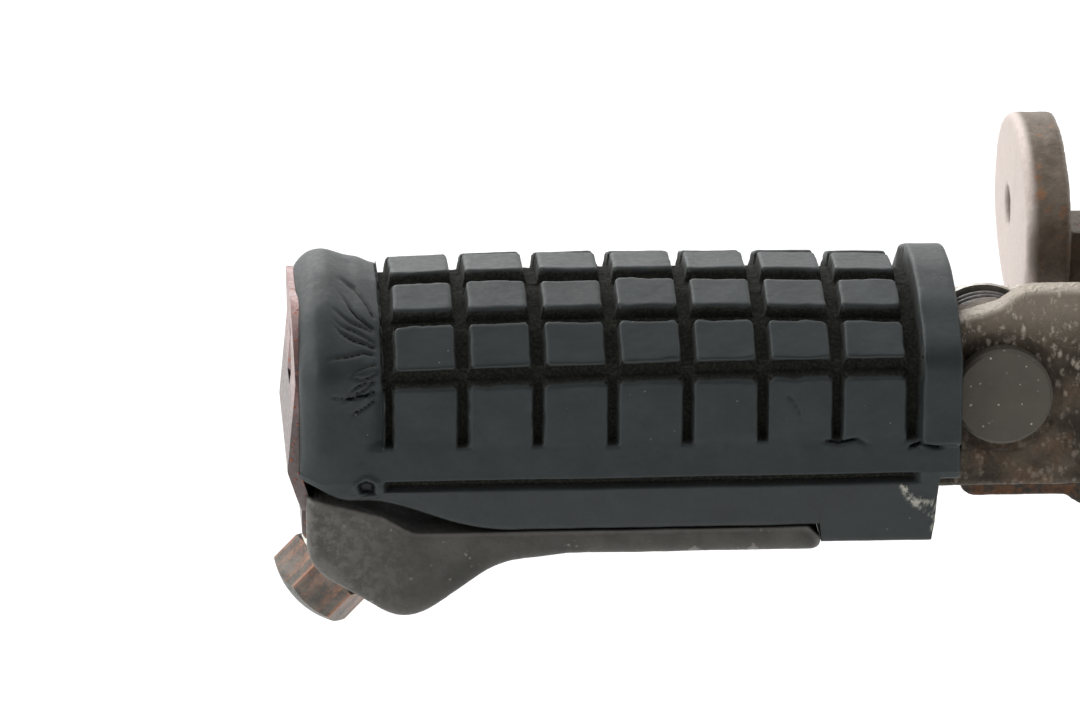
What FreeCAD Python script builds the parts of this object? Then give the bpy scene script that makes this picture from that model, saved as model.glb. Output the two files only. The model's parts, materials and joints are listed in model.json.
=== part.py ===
import FreeCAD, Part
import math
import os
import Sketcher
from FreeCAD import Placement, Rotation, Vector

# Folding foot peg of a motorcycle, in millimetres.
#
# Row frame: +Z is up, +X points inboard (towards the motorcycle), and the origin is the centre
# of the two bolt holes on the bracket's mounting face. Every sub-part is drawn in the peg's own
# frame, whose Y axis is the hinge pin's axis, and its Placement moves it out by pin_setback.

doc = FreeCAD.newDocument("foot_peg")
sheet = doc.addObject("Spreadsheet::Sheet", "Sizes")

SIZES = {
    # hinge
    "pin_setback": 34.0,          # mounting face to pin axis
    "pin_radius": 5.0,
    "pin_head_radius": 7.55,
    "pin_head_height": 2.9,
    "pin_end": 22.0,              # pin axis plane to the pin's far end, along Y
    "cotter_hole_radius": 1.35,
    "cotter_station": 19.6,
    "cotter_wire": 0.6,
    "cotter_eye": 2.0,
    "cotter_neck": 6.4,           # pin axis to the start of the cotter's eye
    "cotter_spread": 0.8,
    "running_gap": 0.05,          # radial clearance of the pin in its bores
    "ear_outer": 16.0,            # mid-plane to the outer face of an ear
    "ear_inner": 11.2,
    "ear_bottom": 15.2,
    "ear_top": 16.0,
    "far_ear_top": 7.1,           # the far ear is cut lower than the near one
    "ear_tail": 20.0,
    "ear_heel": 23.0,
    "ear_corner": 8.0,
    "spot_face_depth": 0.4,
    "spot_face_radius": 9.4,
    "fork_floor": 12.0,           # pin axis to the bottom of the gap between the ears
    # bar of the core, inside the rubber
    "bar_end": 105.1,
    "bar_half_width": 15.0,
    "bar_shoulder": 1.0,
    "bar_top": 8.0,
    "bar_crown_half": 9.0,
    "bar_bottom": 13.6,
    "rib_half_width": 7.0,
    "rib_start": 20.0,
    "rib_end": 90.0,
    # rubber
    "pad_start": 6.8,             # pin axis to the rubber's inboard end
    "pad_end": 107.0,
    "pad_half_width": 22.0,
    "pad_crest": 16.9,
    "pad_crest_half": 4.4,
    "pad_shoulder_half": 15.0,
    "pad_shoulder": 13.1,
    "pad_edge": 7.5,
    "pad_bottom": 19.1,
    "ring_length": 6.0,
    "ring_rise": 1.3,
    "collar_length": 12.5,
    "block_pitch": 11.334,
    "block_groove": 2.3,
    "block_count": 7.0,
    "groove_depth": 3.2,
    "groove_foot": 5.0,           # how far below the pin axis the cross grooves run
    "lip_gap": 8.0,
    "deep_lip_end": 27.7,
    "deep_lip_bottom": 22.0,
    "mouth_half_width": 19.2,
    "mouth_shoulder": 8.4,
    "mouth_crown": 11.9,
    "rubber_gap": 0.15,
    # skid rail
    "rail_half_width": 21.5,
    "rail_top": 19.2,
    "rail_bottom": 23.2,
    "rail_start": 27.9,
    "rail_end": 106.0,
    "rail_web": 2.4,
    "rail_screw_near": 40.0,
    "rail_screw_far": 62.0,
    # screws
    "screw_radius": 3.0,
    "screw_head_radius": 5.25,
    "screw_head_height": 3.3,
    "screw_reach": 11.0,
    "screw_washer_radius": 5.6,
    "screw_washer_height": 1.4,
    "screw_socket": 4.0,
    # feeler
    "feeler_tilt": 46.5,          # degrees below the horizontal
    "feeler_apex_x": 106.6,
    "feeler_apex_z": 36.9,
    "feeler_flats": 13.0,
    "feeler_head": 8.0,
    "feeler_dome": 13.0,
    "feeler_radius": 4.0,
    "feeler_engagement": 10.5,
    "feeler_washer_height": 1.8,
    "feeler_washer_radius": 6.9,
    # end plate
    "plate_thickness": 1.8,
    "plate_half_width": 19.0,
    "plate_top": 14.6,
    "plate_foot": 17.0,
    "tab_half_width": 8.0,
    "plate_screw_radius": 2.5,
    "plate_screw_head": 4.8,
    "plate_screw_station": 3.0,
    "plate_screw_length": 14.0,
    # hinge insides
    "tongue_near": 10.0,
    "tongue_far": 2.0,
    "tongue_radius": 9.6,
    "tongue_foot": 18.9,          # pin axis down to the tongue's lower edge
    "tongue_foot_end": 5.5,
    "tongue_neck": 11.0,
    "tongue_top": 5.8,
    "gusset_foot": 27.0,
    "bush_wall": 1.5,
    "washer_height": 1.1,
    "washer_radius": 9.0,
    "sleeve_wall": 1.3,
    "spring_wire": 1.6,
    "spring_radius": 7.8,
    "spring_pitch": 1.75,
    "spring_turns": 3.0,
    "spring_start": 3.75,         # mid-plane to the first coil's wire centre, along Y
    "fixed_leg": 26.5,            # the leg that stays in the bracket's flange
    "moving_leg": 15.2,           # the leg that turns with the peg's core
    "pin_washer_radius": 6.7,
    "pin_washer_height": 1.6,
    # bracket
    "flange_thickness": 10.0,
    "flange_half_height": 33.0,
    "flange_half_width": 18.0,
    "flange_nose": 8.0,
    "flange_shoulder": 12.0,
    "stop_top": 8.2,
    "mount_spacing": 44.0,
    "mount_hole_radius": 3.4,
    "lug_front": 8.7,
    "lug_thickness": 7.2,
    "lug_station": 45.0,
    "lug_height": 10.0,
    "lug_half_width": 21.0,
    "lug_half_height": 15.5,
    "lug_hole_radius": 3.3,
    "lug_hole_shift": 3.5,
    "arm_near": 27.0,
    "arm_far": 39.0,
    "arm_top": 12.0,
    "arm_bottom": 10.0,
}


class Size:
    """A length that carries its value and the sheet expression it comes from."""

    def __init__(self, value, text):
        self.value = value
        self.text = text

    def __add__(self, other):
        other = as_size(other)
        return Size(self.value + other.value, "(%s + %s)" % (self.text, other.text))

    def __sub__(self, other):
        other = as_size(other)
        return Size(self.value - other.value, "(%s - %s)" % (self.text, other.text))

    def __mul__(self, other):
        other = as_size(other)
        return Size(self.value * other.value, "(%s * %s)" % (self.text, other.text))

    def __neg__(self):
        return Size(-self.value, "(0 - %s)" % self.text)


def as_size(value):
    if isinstance(value, Size):
        return value
    return Size(float(value), "%g" % value if value >= 0 else "(0 - %g)" % -value)


for row, (alias, value) in enumerate(SIZES.items(), start=1):
    sheet.set("A%d" % row, alias)
    sheet.set("B%d" % row, str(value))
    sheet.setAlias("B%d" % row, alias)
doc.recompute()


class Sheet:
    """Sizes by name: S.pin_radius is the sheet's cell of that alias."""

    def __getattr__(self, alias):
        return Size(float(sheet.get(alias)), "Sizes." + alias)


S = Sheet()
nodes = {}


# ---------------------------------------------------------------- drawing helpers

def bind(obj, prop, size):
    """Set a property from the sheet and keep it bound there."""
    obj.setExpression(prop, as_size(size).text)


def place_in_peg_frame(obj, name):
    """Give a finished sub-part its label and move it from the peg frame to the row frame."""
    obj.Label = name
    bind(obj, "Placement.Base.x", -S.pin_setback)
    nodes[name] = obj


def new_body(name):
    body = doc.addObject("PartDesign::Body", "Body_" + name)
    place_in_peg_frame(body, name)
    return body


def new_sketch(body, name, role, offset=None, turn=0.0, shift=(0.0, 0.0)):
    """Sketch on an origin plane of its own body, moved by offset along the plane's normal."""
    sketch = body.newObject("Sketcher::SketchObject", name)
    plane = [item for item in body.Origin.OriginFeatures if item.Role == role][0]
    sketch.AttachmentSupport = [(plane, "")]
    sketch.MapMode = "FlatFace"
    rotation = Rotation(Vector(0, 0, 1), turn)
    sketch.AttachmentOffset = Placement(Vector(shift[0], shift[1], 0), rotation)
    if offset is not None:
        bind(sketch, "AttachmentOffset.Base.z", offset)
    return sketch


def hold(sketch, kind, geometry, point, size):
    """Hold one point of the sketch at a sheet size from the sketch's origin."""
    size = as_size(size)
    index = sketch.addConstraint(Sketcher.Constraint(kind, -1, 1, geometry, point, size.value))
    sketch.setExpression("Constraints[%d]" % index, size.text)


def draw_polygon(sketch, corners):
    """Closed outline with straight sides; each corner is held at its sheet sizes."""
    corners = [(as_size(u), as_size(v)) for u, v in corners]
    points = [Vector(u.value, v.value, 0) for u, v in corners]
    first = sketch.GeometryCount
    count = len(points)
    for index in range(count):
        sketch.addGeometry(Part.LineSegment(points[index], points[(index + 1) % count]), False)
    for index in range(count):
        following = first + (index + 1) % count
        sketch.addConstraint(Sketcher.Constraint("Coincident", first + index, 2, following, 1))
    for index, (u, v) in enumerate(corners):
        hold(sketch, "DistanceX", first + index, 1, u)
        hold(sketch, "DistanceY", first + index, 1, v)


def draw_circle(sketch, u, v, radius):
    u, v, radius = as_size(u), as_size(v), as_size(radius)
    circle = Part.Circle(Vector(u.value, v.value, 0), Vector(0, 0, 1), radius.value)
    geometry = sketch.addGeometry(circle, False)
    index = sketch.addConstraint(Sketcher.Constraint("Radius", geometry, radius.value))
    sketch.setExpression("Constraints[%d]" % index, radius.text)
    hold(sketch, "DistanceX", geometry, 3, u)
    hold(sketch, "DistanceY", geometry, 3, v)


def add_pad(body, sketch, length, symmetric=False):
    pad = body.newObject("PartDesign::Pad", "Pad_" + sketch.Name)
    pad.Profile = sketch
    pad.Midplane = symmetric
    bind(pad, "Length", length)
    sketch.Visibility = False
    doc.recompute()
    return pad


def volume_falls(body, before):
    """Stop if a cutting feature removed nothing."""
    doc.recompute()
    if body.Shape.Volume > before - 0.01:
        raise RuntimeError("a cut in %s removed nothing" % body.Label)


def add_pocket(body, sketch, length, symmetric=False, reverse=False):
    before = body.Shape.Volume
    pocket = body.newObject("PartDesign::Pocket", "Pocket_" + sketch.Name)
    pocket.Profile = sketch
    pocket.Midplane = symmetric
    pocket.Reversed = reverse
    bind(pocket, "Length", length)
    volume_falls(body, before)
    return pocket


def add_turning(body, sketch, axis, cut=False):
    """Turn a half profile about an axis of its sketch: a revolution, or a groove if it cuts."""
    before = body.Shape.Volume if cut else 0.0
    kind = "PartDesign::Groove" if cut else "PartDesign::Revolution"
    turning = body.newObject(kind, "Turned_" + sketch.Name)
    turning.Profile = sketch
    turning.ReferenceAxis = (sketch, [axis])
    turning.Angle = 360.0
    if cut:
        volume_falls(body, before)
    doc.recompute()
    return turning


def add_fillet(body, radius, wanted):
    """Round the edges for which wanted(edge) is true."""
    doc.recompute()
    base = body.Tip
    edges = base.Shape.Edges
    names = ["Edge%d" % number for number, edge in enumerate(edges, start=1) if wanted(edge)]
    if not names:
        raise RuntimeError("no edge to round in " + body.Label)
    fillet = body.newObject("PartDesign::Fillet", "Fillet_%s_%d" % (body.Name, len(body.Group)))
    fillet.Base = (base, names)
    fillet.Radius = radius
    doc.recompute()
    return fillet


def runs_along(edge, axis):
    """True for a straight edge parallel to an axis."""
    if edge.Curve.TypeId != "Part::GeomLine":
        return False
    direction = (edge.Vertexes[1].Point - edge.Vertexes[0].Point).normalize()
    return abs(direction.dot(axis)) > 0.999


def near_point(edge, x, z, reach=0.3):
    """True if the whole edge lies over one point of the XZ plane."""
    x, z = as_size(x).value, as_size(z).value
    return all(math.hypot(v.X - x, v.Z - z) < reach for v in edge.Vertexes)


def turned_about_pin(name, profile):
    """A sub-part turned about the pin's axis from corners (radius, station along Y)."""
    body = new_body(name)
    sketch = new_sketch(body, "Profile_" + name, "XY_Plane")
    draw_polygon(sketch, profile)
    add_turning(body, sketch, "V_Axis")
    return body


def ring_about_pin(name, inner, outer, low, high):
    return turned_about_pin(name, [(inner, low), (outer, low), (outer, high), (inner, high)])


X_AXIS = Vector(1, 0, 0)
Y_AXIS = Vector(0, 1, 0)
Z_AXIS = Vector(0, 0, 1)


# ---------------------------------------------------------------- feeler axis

TILT = math.radians(S.feeler_tilt.value)
FEELER_OUT = Vector(-math.cos(TILT), 0, -math.sin(TILT))
SEAT_ALONG = Vector(math.sin(TILT), 0, -math.cos(TILT))
FEELER_APEX = Vector(-S.feeler_apex_x.value, 0, -S.feeler_apex_z.value)
STACK = S.feeler_washer_height.value + S.plate_thickness.value
HEAD_FACE = FEELER_APEX - FEELER_OUT * S.feeler_head.value
BOSS_FACE = HEAD_FACE - FEELER_OUT * STACK


# sideways travel of the return spring's legs, per length of wire
SPRING_LEAD = S.spring_pitch.value / (2 * math.pi * S.spring_radius.value)


# ---------------------------------------------------------------- peg core

def make_peg_core():
    """Casting with two hinge ears and the bar that the rubber is pushed on."""
    body = new_body("peg_core")

    ears = new_sketch(body, "Ears", "XZ_Plane")
    heel = (S.ear_heel, -S.ear_bottom)
    heel_step = (S.ear_tail, -2.0)
    crown_back = (S.ear_tail, S.ear_top)
    crown_front = (3.2, S.ear_top)
    shoulder = (-0.4, S.ear_top - 2.5)
    draw_polygon(ears, [
        (-(S.fork_floor + 5.0), -S.ear_bottom),
        heel,
        (S.ear_heel, -(S.ear_bottom - 5.7)),
        heel_step,
        crown_back,
        crown_front,
        shoulder,
        (-7.2, S.ear_top - 4.5),
        (-(S.fork_floor + 0.6), S.bar_top),
        (-(S.fork_floor + 5.0), S.bar_top),
    ])
    add_pad(body, ears, S.ear_outer * 2, symmetric=True)
    add_fillet(body, S.ear_corner.value, lambda edge: runs_along(edge, Y_AXIS)
               and near_point(edge, *crown_back))
    add_fillet(body, 3.0, lambda edge: runs_along(edge, Y_AXIS)
               and any(near_point(edge, *corner) for corner in (crown_front, shoulder, heel_step)))
    add_fillet(body, 1.5, lambda edge: runs_along(edge, Y_AXIS) and near_point(edge, *heel))
    add_fillet(body, 1.2, lambda edge: all(
        abs(abs(v.Y) - S.ear_outer.value) < 0.01 and v.X > -12.5 for v in edge.Vertexes))

    bar = new_sketch(body, "Bar", "YZ_Plane", offset=-S.bar_end)
    draw_polygon(bar, [
        (-S.bar_half_width, -S.bar_bottom),
        (S.bar_half_width, -S.bar_bottom),
        (S.bar_half_width, S.bar_shoulder),
        (S.bar_crown_half, S.bar_top),
        (-S.bar_crown_half, S.bar_top),
        (-S.bar_half_width, S.bar_shoulder),
    ])
    add_pad(body, bar, S.bar_end - S.fork_floor - 3.0)

    rib = new_sketch(body, "Rib", "XZ_Plane")
    draw_polygon(rib, [
        (-S.rib_end, -(S.bar_bottom - 1.0)),
        (-S.rib_end, -16.2),
        (-(S.rib_end - 9.0), -S.rail_top),
        (-S.rib_start, -S.rail_top),
        (-(S.rib_start - 4.0), -(S.bar_bottom - 1.0)),
    ])
    add_pad(body, rib, S.rib_half_width * 2, symmetric=True)

    gap = new_sketch(body, "Fork_gap", "XZ_Plane")
    draw_polygon(gap, [
        (-S.fork_floor, -25),
        (30, -25),
        (30, 25),
        (-S.fork_floor, 25),
    ])
    add_pocket(body, gap, S.ear_inner * 2, symmetric=True)

    crown = new_sketch(body, "Far_ear_crown", "XZ_Plane", offset=-(S.ear_outer + 1.0))
    draw_polygon(crown, [
        (-(S.fork_floor - 1.5), S.far_ear_top),
        (30, S.far_ear_top),
        (30, 25),
        (-(S.fork_floor - 1.5), 25),
    ])
    add_pocket(body, crown, S.ear_outer + 1.0, reverse=True)

    bore = new_sketch(body, "Pin_bore", "XZ_Plane")
    draw_circle(bore, 0, 0, S.pin_radius + S.running_gap)
    add_pocket(body, bore, S.ear_outer * 3, symmetric=True)

    spot = new_sketch(body, "Spot_face", "XZ_Plane", offset=S.ear_outer)
    draw_circle(spot, 0, 0, S.spot_face_radius)
    add_pocket(body, spot, S.spot_face_depth)

    for number, station in enumerate((S.rail_screw_near, S.rail_screw_far), start=1):
        thread = new_sketch(body, "Rail_thread_%d" % number, "XY_Plane", offset=-S.rail_top)
        draw_circle(thread, -station, 0, S.screw_radius + S.running_gap)
        add_pocket(body, thread, S.screw_reach + 2.0, reverse=True)

    thread = new_sketch(body, "Plate_thread", "YZ_Plane", offset=-S.bar_end)
    draw_circle(thread, 0, S.plate_screw_station, S.plate_screw_radius + S.running_gap)
    add_pocket(body, thread, S.plate_screw_length, reverse=True)

    leg_hole = new_sketch(body, "Spring_leg_hole", "YZ_Plane", offset=-S.fork_floor)
    draw_circle(leg_hole, S.spring_start + S.spring_pitch * S.spring_turns
                + S.fork_floor * SPRING_LEAD, -S.spring_radius, S.spring_wire * 0.8)
    add_pocket(body, leg_hole, 4.0)
    return body


# ---------------------------------------------------------------- rubber

def pad_section(grow):
    """Half outline of the rubber's upper part, from crest to side, grown outwards."""
    return [
        (S.pad_crest_half, S.pad_crest + grow),
        (S.pad_shoulder_half + grow * 0.4, S.pad_shoulder + grow),
        (S.pad_half_width + grow, S.pad_edge + grow * 0.5),
    ]


def arch(section):
    """Full outline from the +Y side over the crest to the -Y side."""
    right = list(reversed(section))
    left = [(-as_size(y), z) for y, z in section]
    return right + left


def make_rubber_pad():
    """Rubber sleeve with an end collar, an inboard ring and rows of blocks."""
    body = new_body("rubber_pad")

    sleeve = new_sketch(body, "Sleeve", "YZ_Plane", offset=-S.pad_end)
    draw_polygon(sleeve, [(S.pad_half_width, -S.pad_bottom)] + arch(pad_section(as_size(0)))
                 + [(-S.pad_half_width, -S.pad_bottom)])
    add_pad(body, sleeve, S.pad_end - S.pad_start)

    deep_lip = new_sketch(body, "Deep_lip", "XZ_Plane")
    draw_polygon(deep_lip, [
        (-S.deep_lip_end, -S.bar_bottom),
        (-S.deep_lip_end, -S.deep_lip_bottom),
        (-(S.fork_floor + 1.0), -S.deep_lip_bottom),
        (-(S.pad_start + 2.5), -S.bar_bottom),
    ])
    add_pad(body, deep_lip, (S.pad_half_width - 0.5) * 2, symmetric=True)

    bands = (("Collar_band", -S.pad_end, S.collar_length),
             ("Ring_band", -(S.pad_start + S.ring_length), S.ring_length))
    for name, start, length in bands:
        band = new_sketch(body, name, "YZ_Plane", offset=start)
        draw_polygon(band, [(S.pad_half_width + S.ring_rise, -6)]
                     + arch(pad_section(S.ring_rise))
                     + [(-(S.pad_half_width + S.ring_rise), -6)])
        add_pad(body, band, length)

    cavity = new_sketch(body, "Bar_cavity", "YZ_Plane", offset=-(S.pad_end + 1.0))
    draw_polygon(cavity, [
        (-(S.bar_half_width + S.rubber_gap), -(S.bar_bottom + S.rubber_gap)),
        (S.bar_half_width + S.rubber_gap, -(S.bar_bottom + S.rubber_gap)),
        (S.bar_half_width + S.rubber_gap, S.bar_shoulder + S.rubber_gap),
        (S.bar_crown_half + S.rubber_gap, S.bar_top + S.rubber_gap),
        (-(S.bar_crown_half + S.rubber_gap), S.bar_top + S.rubber_gap),
        (-(S.bar_half_width + S.rubber_gap), S.bar_shoulder + S.rubber_gap),
    ])
    add_pocket(body, cavity, S.pad_end + 2.0, reverse=True)

    slot = new_sketch(body, "Lip_slot", "XZ_Plane")
    draw_polygon(slot, [
        (-(S.pad_end + 1.0), -S.bar_bottom),
        (-(S.pad_end + 1.0), -30),
        (0, -30),
        (0, -S.bar_bottom),
    ])
    add_pocket(body, slot, S.lip_gap * 2, symmetric=True)

    root = new_sketch(body, "Ear_root", "YZ_Plane", offset=-(S.fork_floor + 5.2))
    half = S.ear_outer + 0.2
    draw_polygon(root, [
        (half, -(S.ear_bottom + 0.2)),
        (half, S.bar_top + 0.2),
        (-half, S.bar_top + 0.2),
        (-half, -(S.ear_bottom + 0.2)),
    ])
    add_pocket(body, root, 20, reverse=True)

    mouth = new_sketch(body, "Ear_mouth", "YZ_Plane", offset=-(S.pad_start + S.ring_length))
    draw_polygon(mouth, [
        (S.mouth_half_width, -30),
        (S.mouth_half_width, S.mouth_shoulder),
        (S.ear_outer + 0.2, S.mouth_crown),
        (-(S.ear_outer + 0.2), S.mouth_crown),
        (-S.mouth_half_width, S.mouth_shoulder),
        (-S.mouth_half_width, -30),
    ])
    add_pocket(body, mouth, 20, reverse=True)

    foot = new_sketch(body, "Outboard_foot", "XZ_Plane")
    draw_polygon(foot, [
        (-(S.pad_end + 3.0), -10.9),
        (-(S.rail_end - 0.5), -12.9),
        (-92.6, -16.2),
        (-80, -S.pad_bottom),
        (-80, -30),
        (-(S.pad_end + 3.0), -30),
    ])
    add_pocket(body, foot, S.pad_half_width * 3, symmetric=True)

    recess = new_sketch(body, "Plate_recess", "YZ_Plane", offset=-(S.pad_end + 1.0))
    reach = S.plate_half_width + 0.4
    draw_polygon(recess, [
        (-reach, -20), (reach, -20), (reach, 7), (14, S.plate_top + 0.2),
        (-14, S.plate_top + 0.2), (-reach, 7),
    ])
    add_pocket(body, recess, 2.4, reverse=True)

    cross_groove = new_sketch(body, "Cross_groove", "YZ_Plane",
                              offset=-(S.pad_end - S.collar_length))
    outer = arch(pad_section(as_size(3.0)))
    inner = arch(pad_section(-S.groove_depth))
    side = S.pad_half_width
    floor = side - S.groove_depth
    draw_polygon(cross_groove, [(side + 3.0, -S.groove_foot)] + outer
                 + [(-(side + 3.0), -S.groove_foot), (-floor, -S.groove_foot)]
                 + list(reversed(inner)) + [(floor, -S.groove_foot)])
    pocket = add_pocket(body, cross_groove, S.block_groove, reverse=True)

    pattern = body.newObject("PartDesign::LinearPattern", "Cross_grooves")
    pattern.Originals = [pocket]
    pattern.Direction = (cross_groove, ["N_Axis"])
    bind(pattern, "Length", S.block_pitch * S.block_count)
    bind(pattern, "Occurrences", S.block_count + 1)
    body.Tip = pattern
    doc.recompute()

    rows = new_sketch(body, "Long_grooves", "YZ_Plane", offset=-(S.pad_end - S.collar_length))
    beside_crest = [(4.4, 20), (7.3, 19), (6.5, 13.2), (4.9, 13.8)]
    at_shoulder = [(15.6, 16.5), (18.2, 14.5), (15.0, 10.2), (13.6, 11.2)]
    on_side = [(24, 7.4), (24, 4.7), (19.2, 5.2), (19.2, 6.4)]
    for sign in (-1, 1):
        for corners in (beside_crest, at_shoulder, on_side):
            draw_polygon(rows, [(sign * y, z) for y, z in corners])
    add_pocket(body, rows, S.block_pitch * S.block_count, reverse=True)
    return body


# ---------------------------------------------------------------- skid rail

def seat_corner(along, out):
    """Point of the XZ plane from the boss's seat: along the seat and out of it."""
    point = BOSS_FACE + SEAT_ALONG * along + FEELER_OUT * out
    return (point.x, point.z)


def make_skid_rail():
    """Cast rail under the rubber, with a rounded boss that holds the feeler."""
    body = new_body("skid_rail")

    outline = new_sketch(body, "Outline", "XZ_Plane")
    boss_back = (-S.rail_end, -24.6)
    boss_bottom = (-90.8, -34.0)
    heel = (-76.5, -24.2)
    scoop = (-90.0, -S.rail_top)
    draw_polygon(outline, [
        (-S.rail_end, -13.3),
        boss_back,
        boss_bottom,
        heel,
        (-66, -S.rail_bottom),
        (-S.rail_start, -S.rail_bottom),
        (-S.rail_start, -(S.rail_top + 1.8)),
        (-(S.rail_start + 1.9), -S.rail_top),
        scoop,
        (-94.5, -16.4),
    ])
    add_pad(body, outline, S.rail_half_width * 2, symmetric=True)
    for radius, corner in ((7.0, boss_back), (7.0, boss_bottom), (5.0, scoop), (14.0, heel)):
        add_fillet(body, radius, lambda edge: runs_along(edge, Y_AXIS)
                   and near_point(edge, *corner))
    add_fillet(body, 1.7, lambda edge: all(
        abs(abs(v.Y) - S.rail_half_width.value) < 0.01 and v.Z < -S.rail_top.value - 1.9
        for v in edge.Vertexes))

    plate_seat = new_sketch(body, "Plate_seat", "XZ_Plane")
    inner = -(S.feeler_apex_x - S.plate_thickness - 0.5)
    draw_polygon(plate_seat, [
        (-(S.rail_end + 4.0), -10),
        (inner, -10),
        (inner, -24.5),
        (-(S.rail_end + 4.0), -24.5),
    ])
    add_pocket(body, plate_seat, (S.plate_half_width + 0.3) * 2, symmetric=True)

    feeler_seat = new_sketch(body, "Feeler_seat", "XZ_Plane")
    draw_polygon(feeler_seat, [seat_corner(-16, 0), seat_corner(9.5, 0), seat_corner(9.5, 16),
                               seat_corner(-16, 16)])
    add_pocket(body, feeler_seat, (S.tab_half_width + 1.0) * 2, symmetric=True)

    thread = new_sketch(body, "Feeler_thread", "XZ_Plane", turn=90.0 + S.feeler_tilt.value,
                        shift=(BOSS_FACE.x, BOSS_FACE.z))
    reach = S.feeler_engagement + 1.0
    wide = S.feeler_radius + S.running_gap
    draw_polygon(thread, [(0, 3), (wide, 3), (wide, -reach), (0, -reach)])
    add_turning(body, thread, "V_Axis", cut=True)

    channel = new_sketch(body, "Channel", "XZ_Plane")
    draw_polygon(channel, [
        (-70, -(S.rail_bottom + 3.0)),
        (-68, -(S.rail_top + S.rail_web)),
        (-(S.rail_start - 3.0), -(S.rail_top + S.rail_web)),
        (-(S.rail_start - 3.0), -(S.rail_bottom + 3.0)),
    ])
    add_pocket(body, channel, (S.rail_half_width - 5.0) * 2, symmetric=True)

    for number, station in enumerate((S.rail_screw_near, S.rail_screw_far), start=1):
        hole = new_sketch(body, "Screw_hole_%d" % number, "XY_Plane", offset=-S.rail_bottom)
        draw_circle(hole, -station, 0, S.screw_radius + 0.3)
        add_pocket(body, hole, 6, reverse=True)
    return body


# ---------------------------------------------------------------- screws and washers

def compound(name, pieces):
    """One node made of identical separate solids."""
    group = doc.addObject("Part::Compound", "Group_" + name)
    group.Links = pieces
    place_in_peg_frame(group, name)
    return group


def cylinder(name, radius, height, x=0, y=0, z=0, sides=0):
    """Upright cylinder or, with sides, a prism measured across its corners."""
    kind = "Part::Prism" if sides else "Part::Cylinder"
    solid = doc.addObject(kind, name)
    bind(solid, "Circumradius" if sides else "Radius", radius)
    bind(solid, "Height", height)
    if sides:
        solid.Polygon = sides
    bind(solid, "Placement.Base.x", x)
    bind(solid, "Placement.Base.y", y)
    bind(solid, "Placement.Base.z", z)
    return solid


def cut(name, base, tool):
    result = doc.addObject("Part::Cut", name)
    result.Base = base
    result.Tool = tool
    return result


def fuse(name, base, tool):
    result = doc.addObject("Part::Fuse", name)
    result.Base = base
    result.Tool = tool
    return result


def make_rail_fasteners():
    """Button-head screws and spring washers that pull the rail up against the core's rib."""
    washer_low = -(S.rail_top + S.rail_web) - S.screw_washer_height
    head_low = washer_low - S.screw_head_height
    screws = []
    washers = []
    for number, station in enumerate((S.rail_screw_near, S.rail_screw_far), start=1):
        tag = "_%d" % number
        shank_length = S.screw_reach + S.rail_web + S.screw_washer_height + 0.5
        shank = cylinder("Screw_shank" + tag, S.screw_radius, shank_length, -station, 0,
                         washer_low - 0.5)
        head = cylinder("Screw_head" + tag, S.screw_head_radius, S.screw_head_height, -station, 0,
                        head_low)
        rounded = doc.addObject("Part::Fillet", "Screw_round" + tag)
        doc.recompute()
        rounded.Base = head
        rounded.Edges = [(number_of_low_circle(head.Shape), 1.6, 1.6)]
        socket = cylinder("Screw_socket" + tag, S.screw_socket * 0.5774, 2.3, -station, 0,
                          head_low - 0.2, sides=6)
        blank = fuse("Screw_blank" + tag, rounded, shank)
        screws.append(cut("Screw" + tag, blank, socket))
        ring = cylinder("Washer_ring" + tag, S.screw_washer_radius, S.screw_washer_height, -station,
                        0, washer_low)
        hole = cylinder("Washer_hole" + tag, S.screw_radius + 0.2, S.screw_washer_height + 2.0,
                        -station, 0, washer_low - 1.0)
        washers.append(cut("Screw_washer" + tag, ring, hole))
    compound("rail_screws", screws)
    compound("rail_screw_washers", washers)


def number_of_low_circle(shape):
    """Number of the lowest circular edge of an upright cylinder."""
    circles = [(edge.CenterOfMass.z, number) for number, edge in enumerate(shape.Edges, start=1)
               if edge.Curve.TypeId == "Part::GeomCircle"]
    return min(circles)[1]


def on_feeler_axis(body, station):
    """Set a body upright on the feeler's axis, with +Z out of the boss."""
    base = BOSS_FACE + FEELER_OUT * station
    rotation = Rotation(Z_AXIS, FEELER_OUT)
    body.Placement = Placement(base, rotation)
    bind(body, "Placement.Base.x", as_size(base.x) - S.pin_setback)


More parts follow.
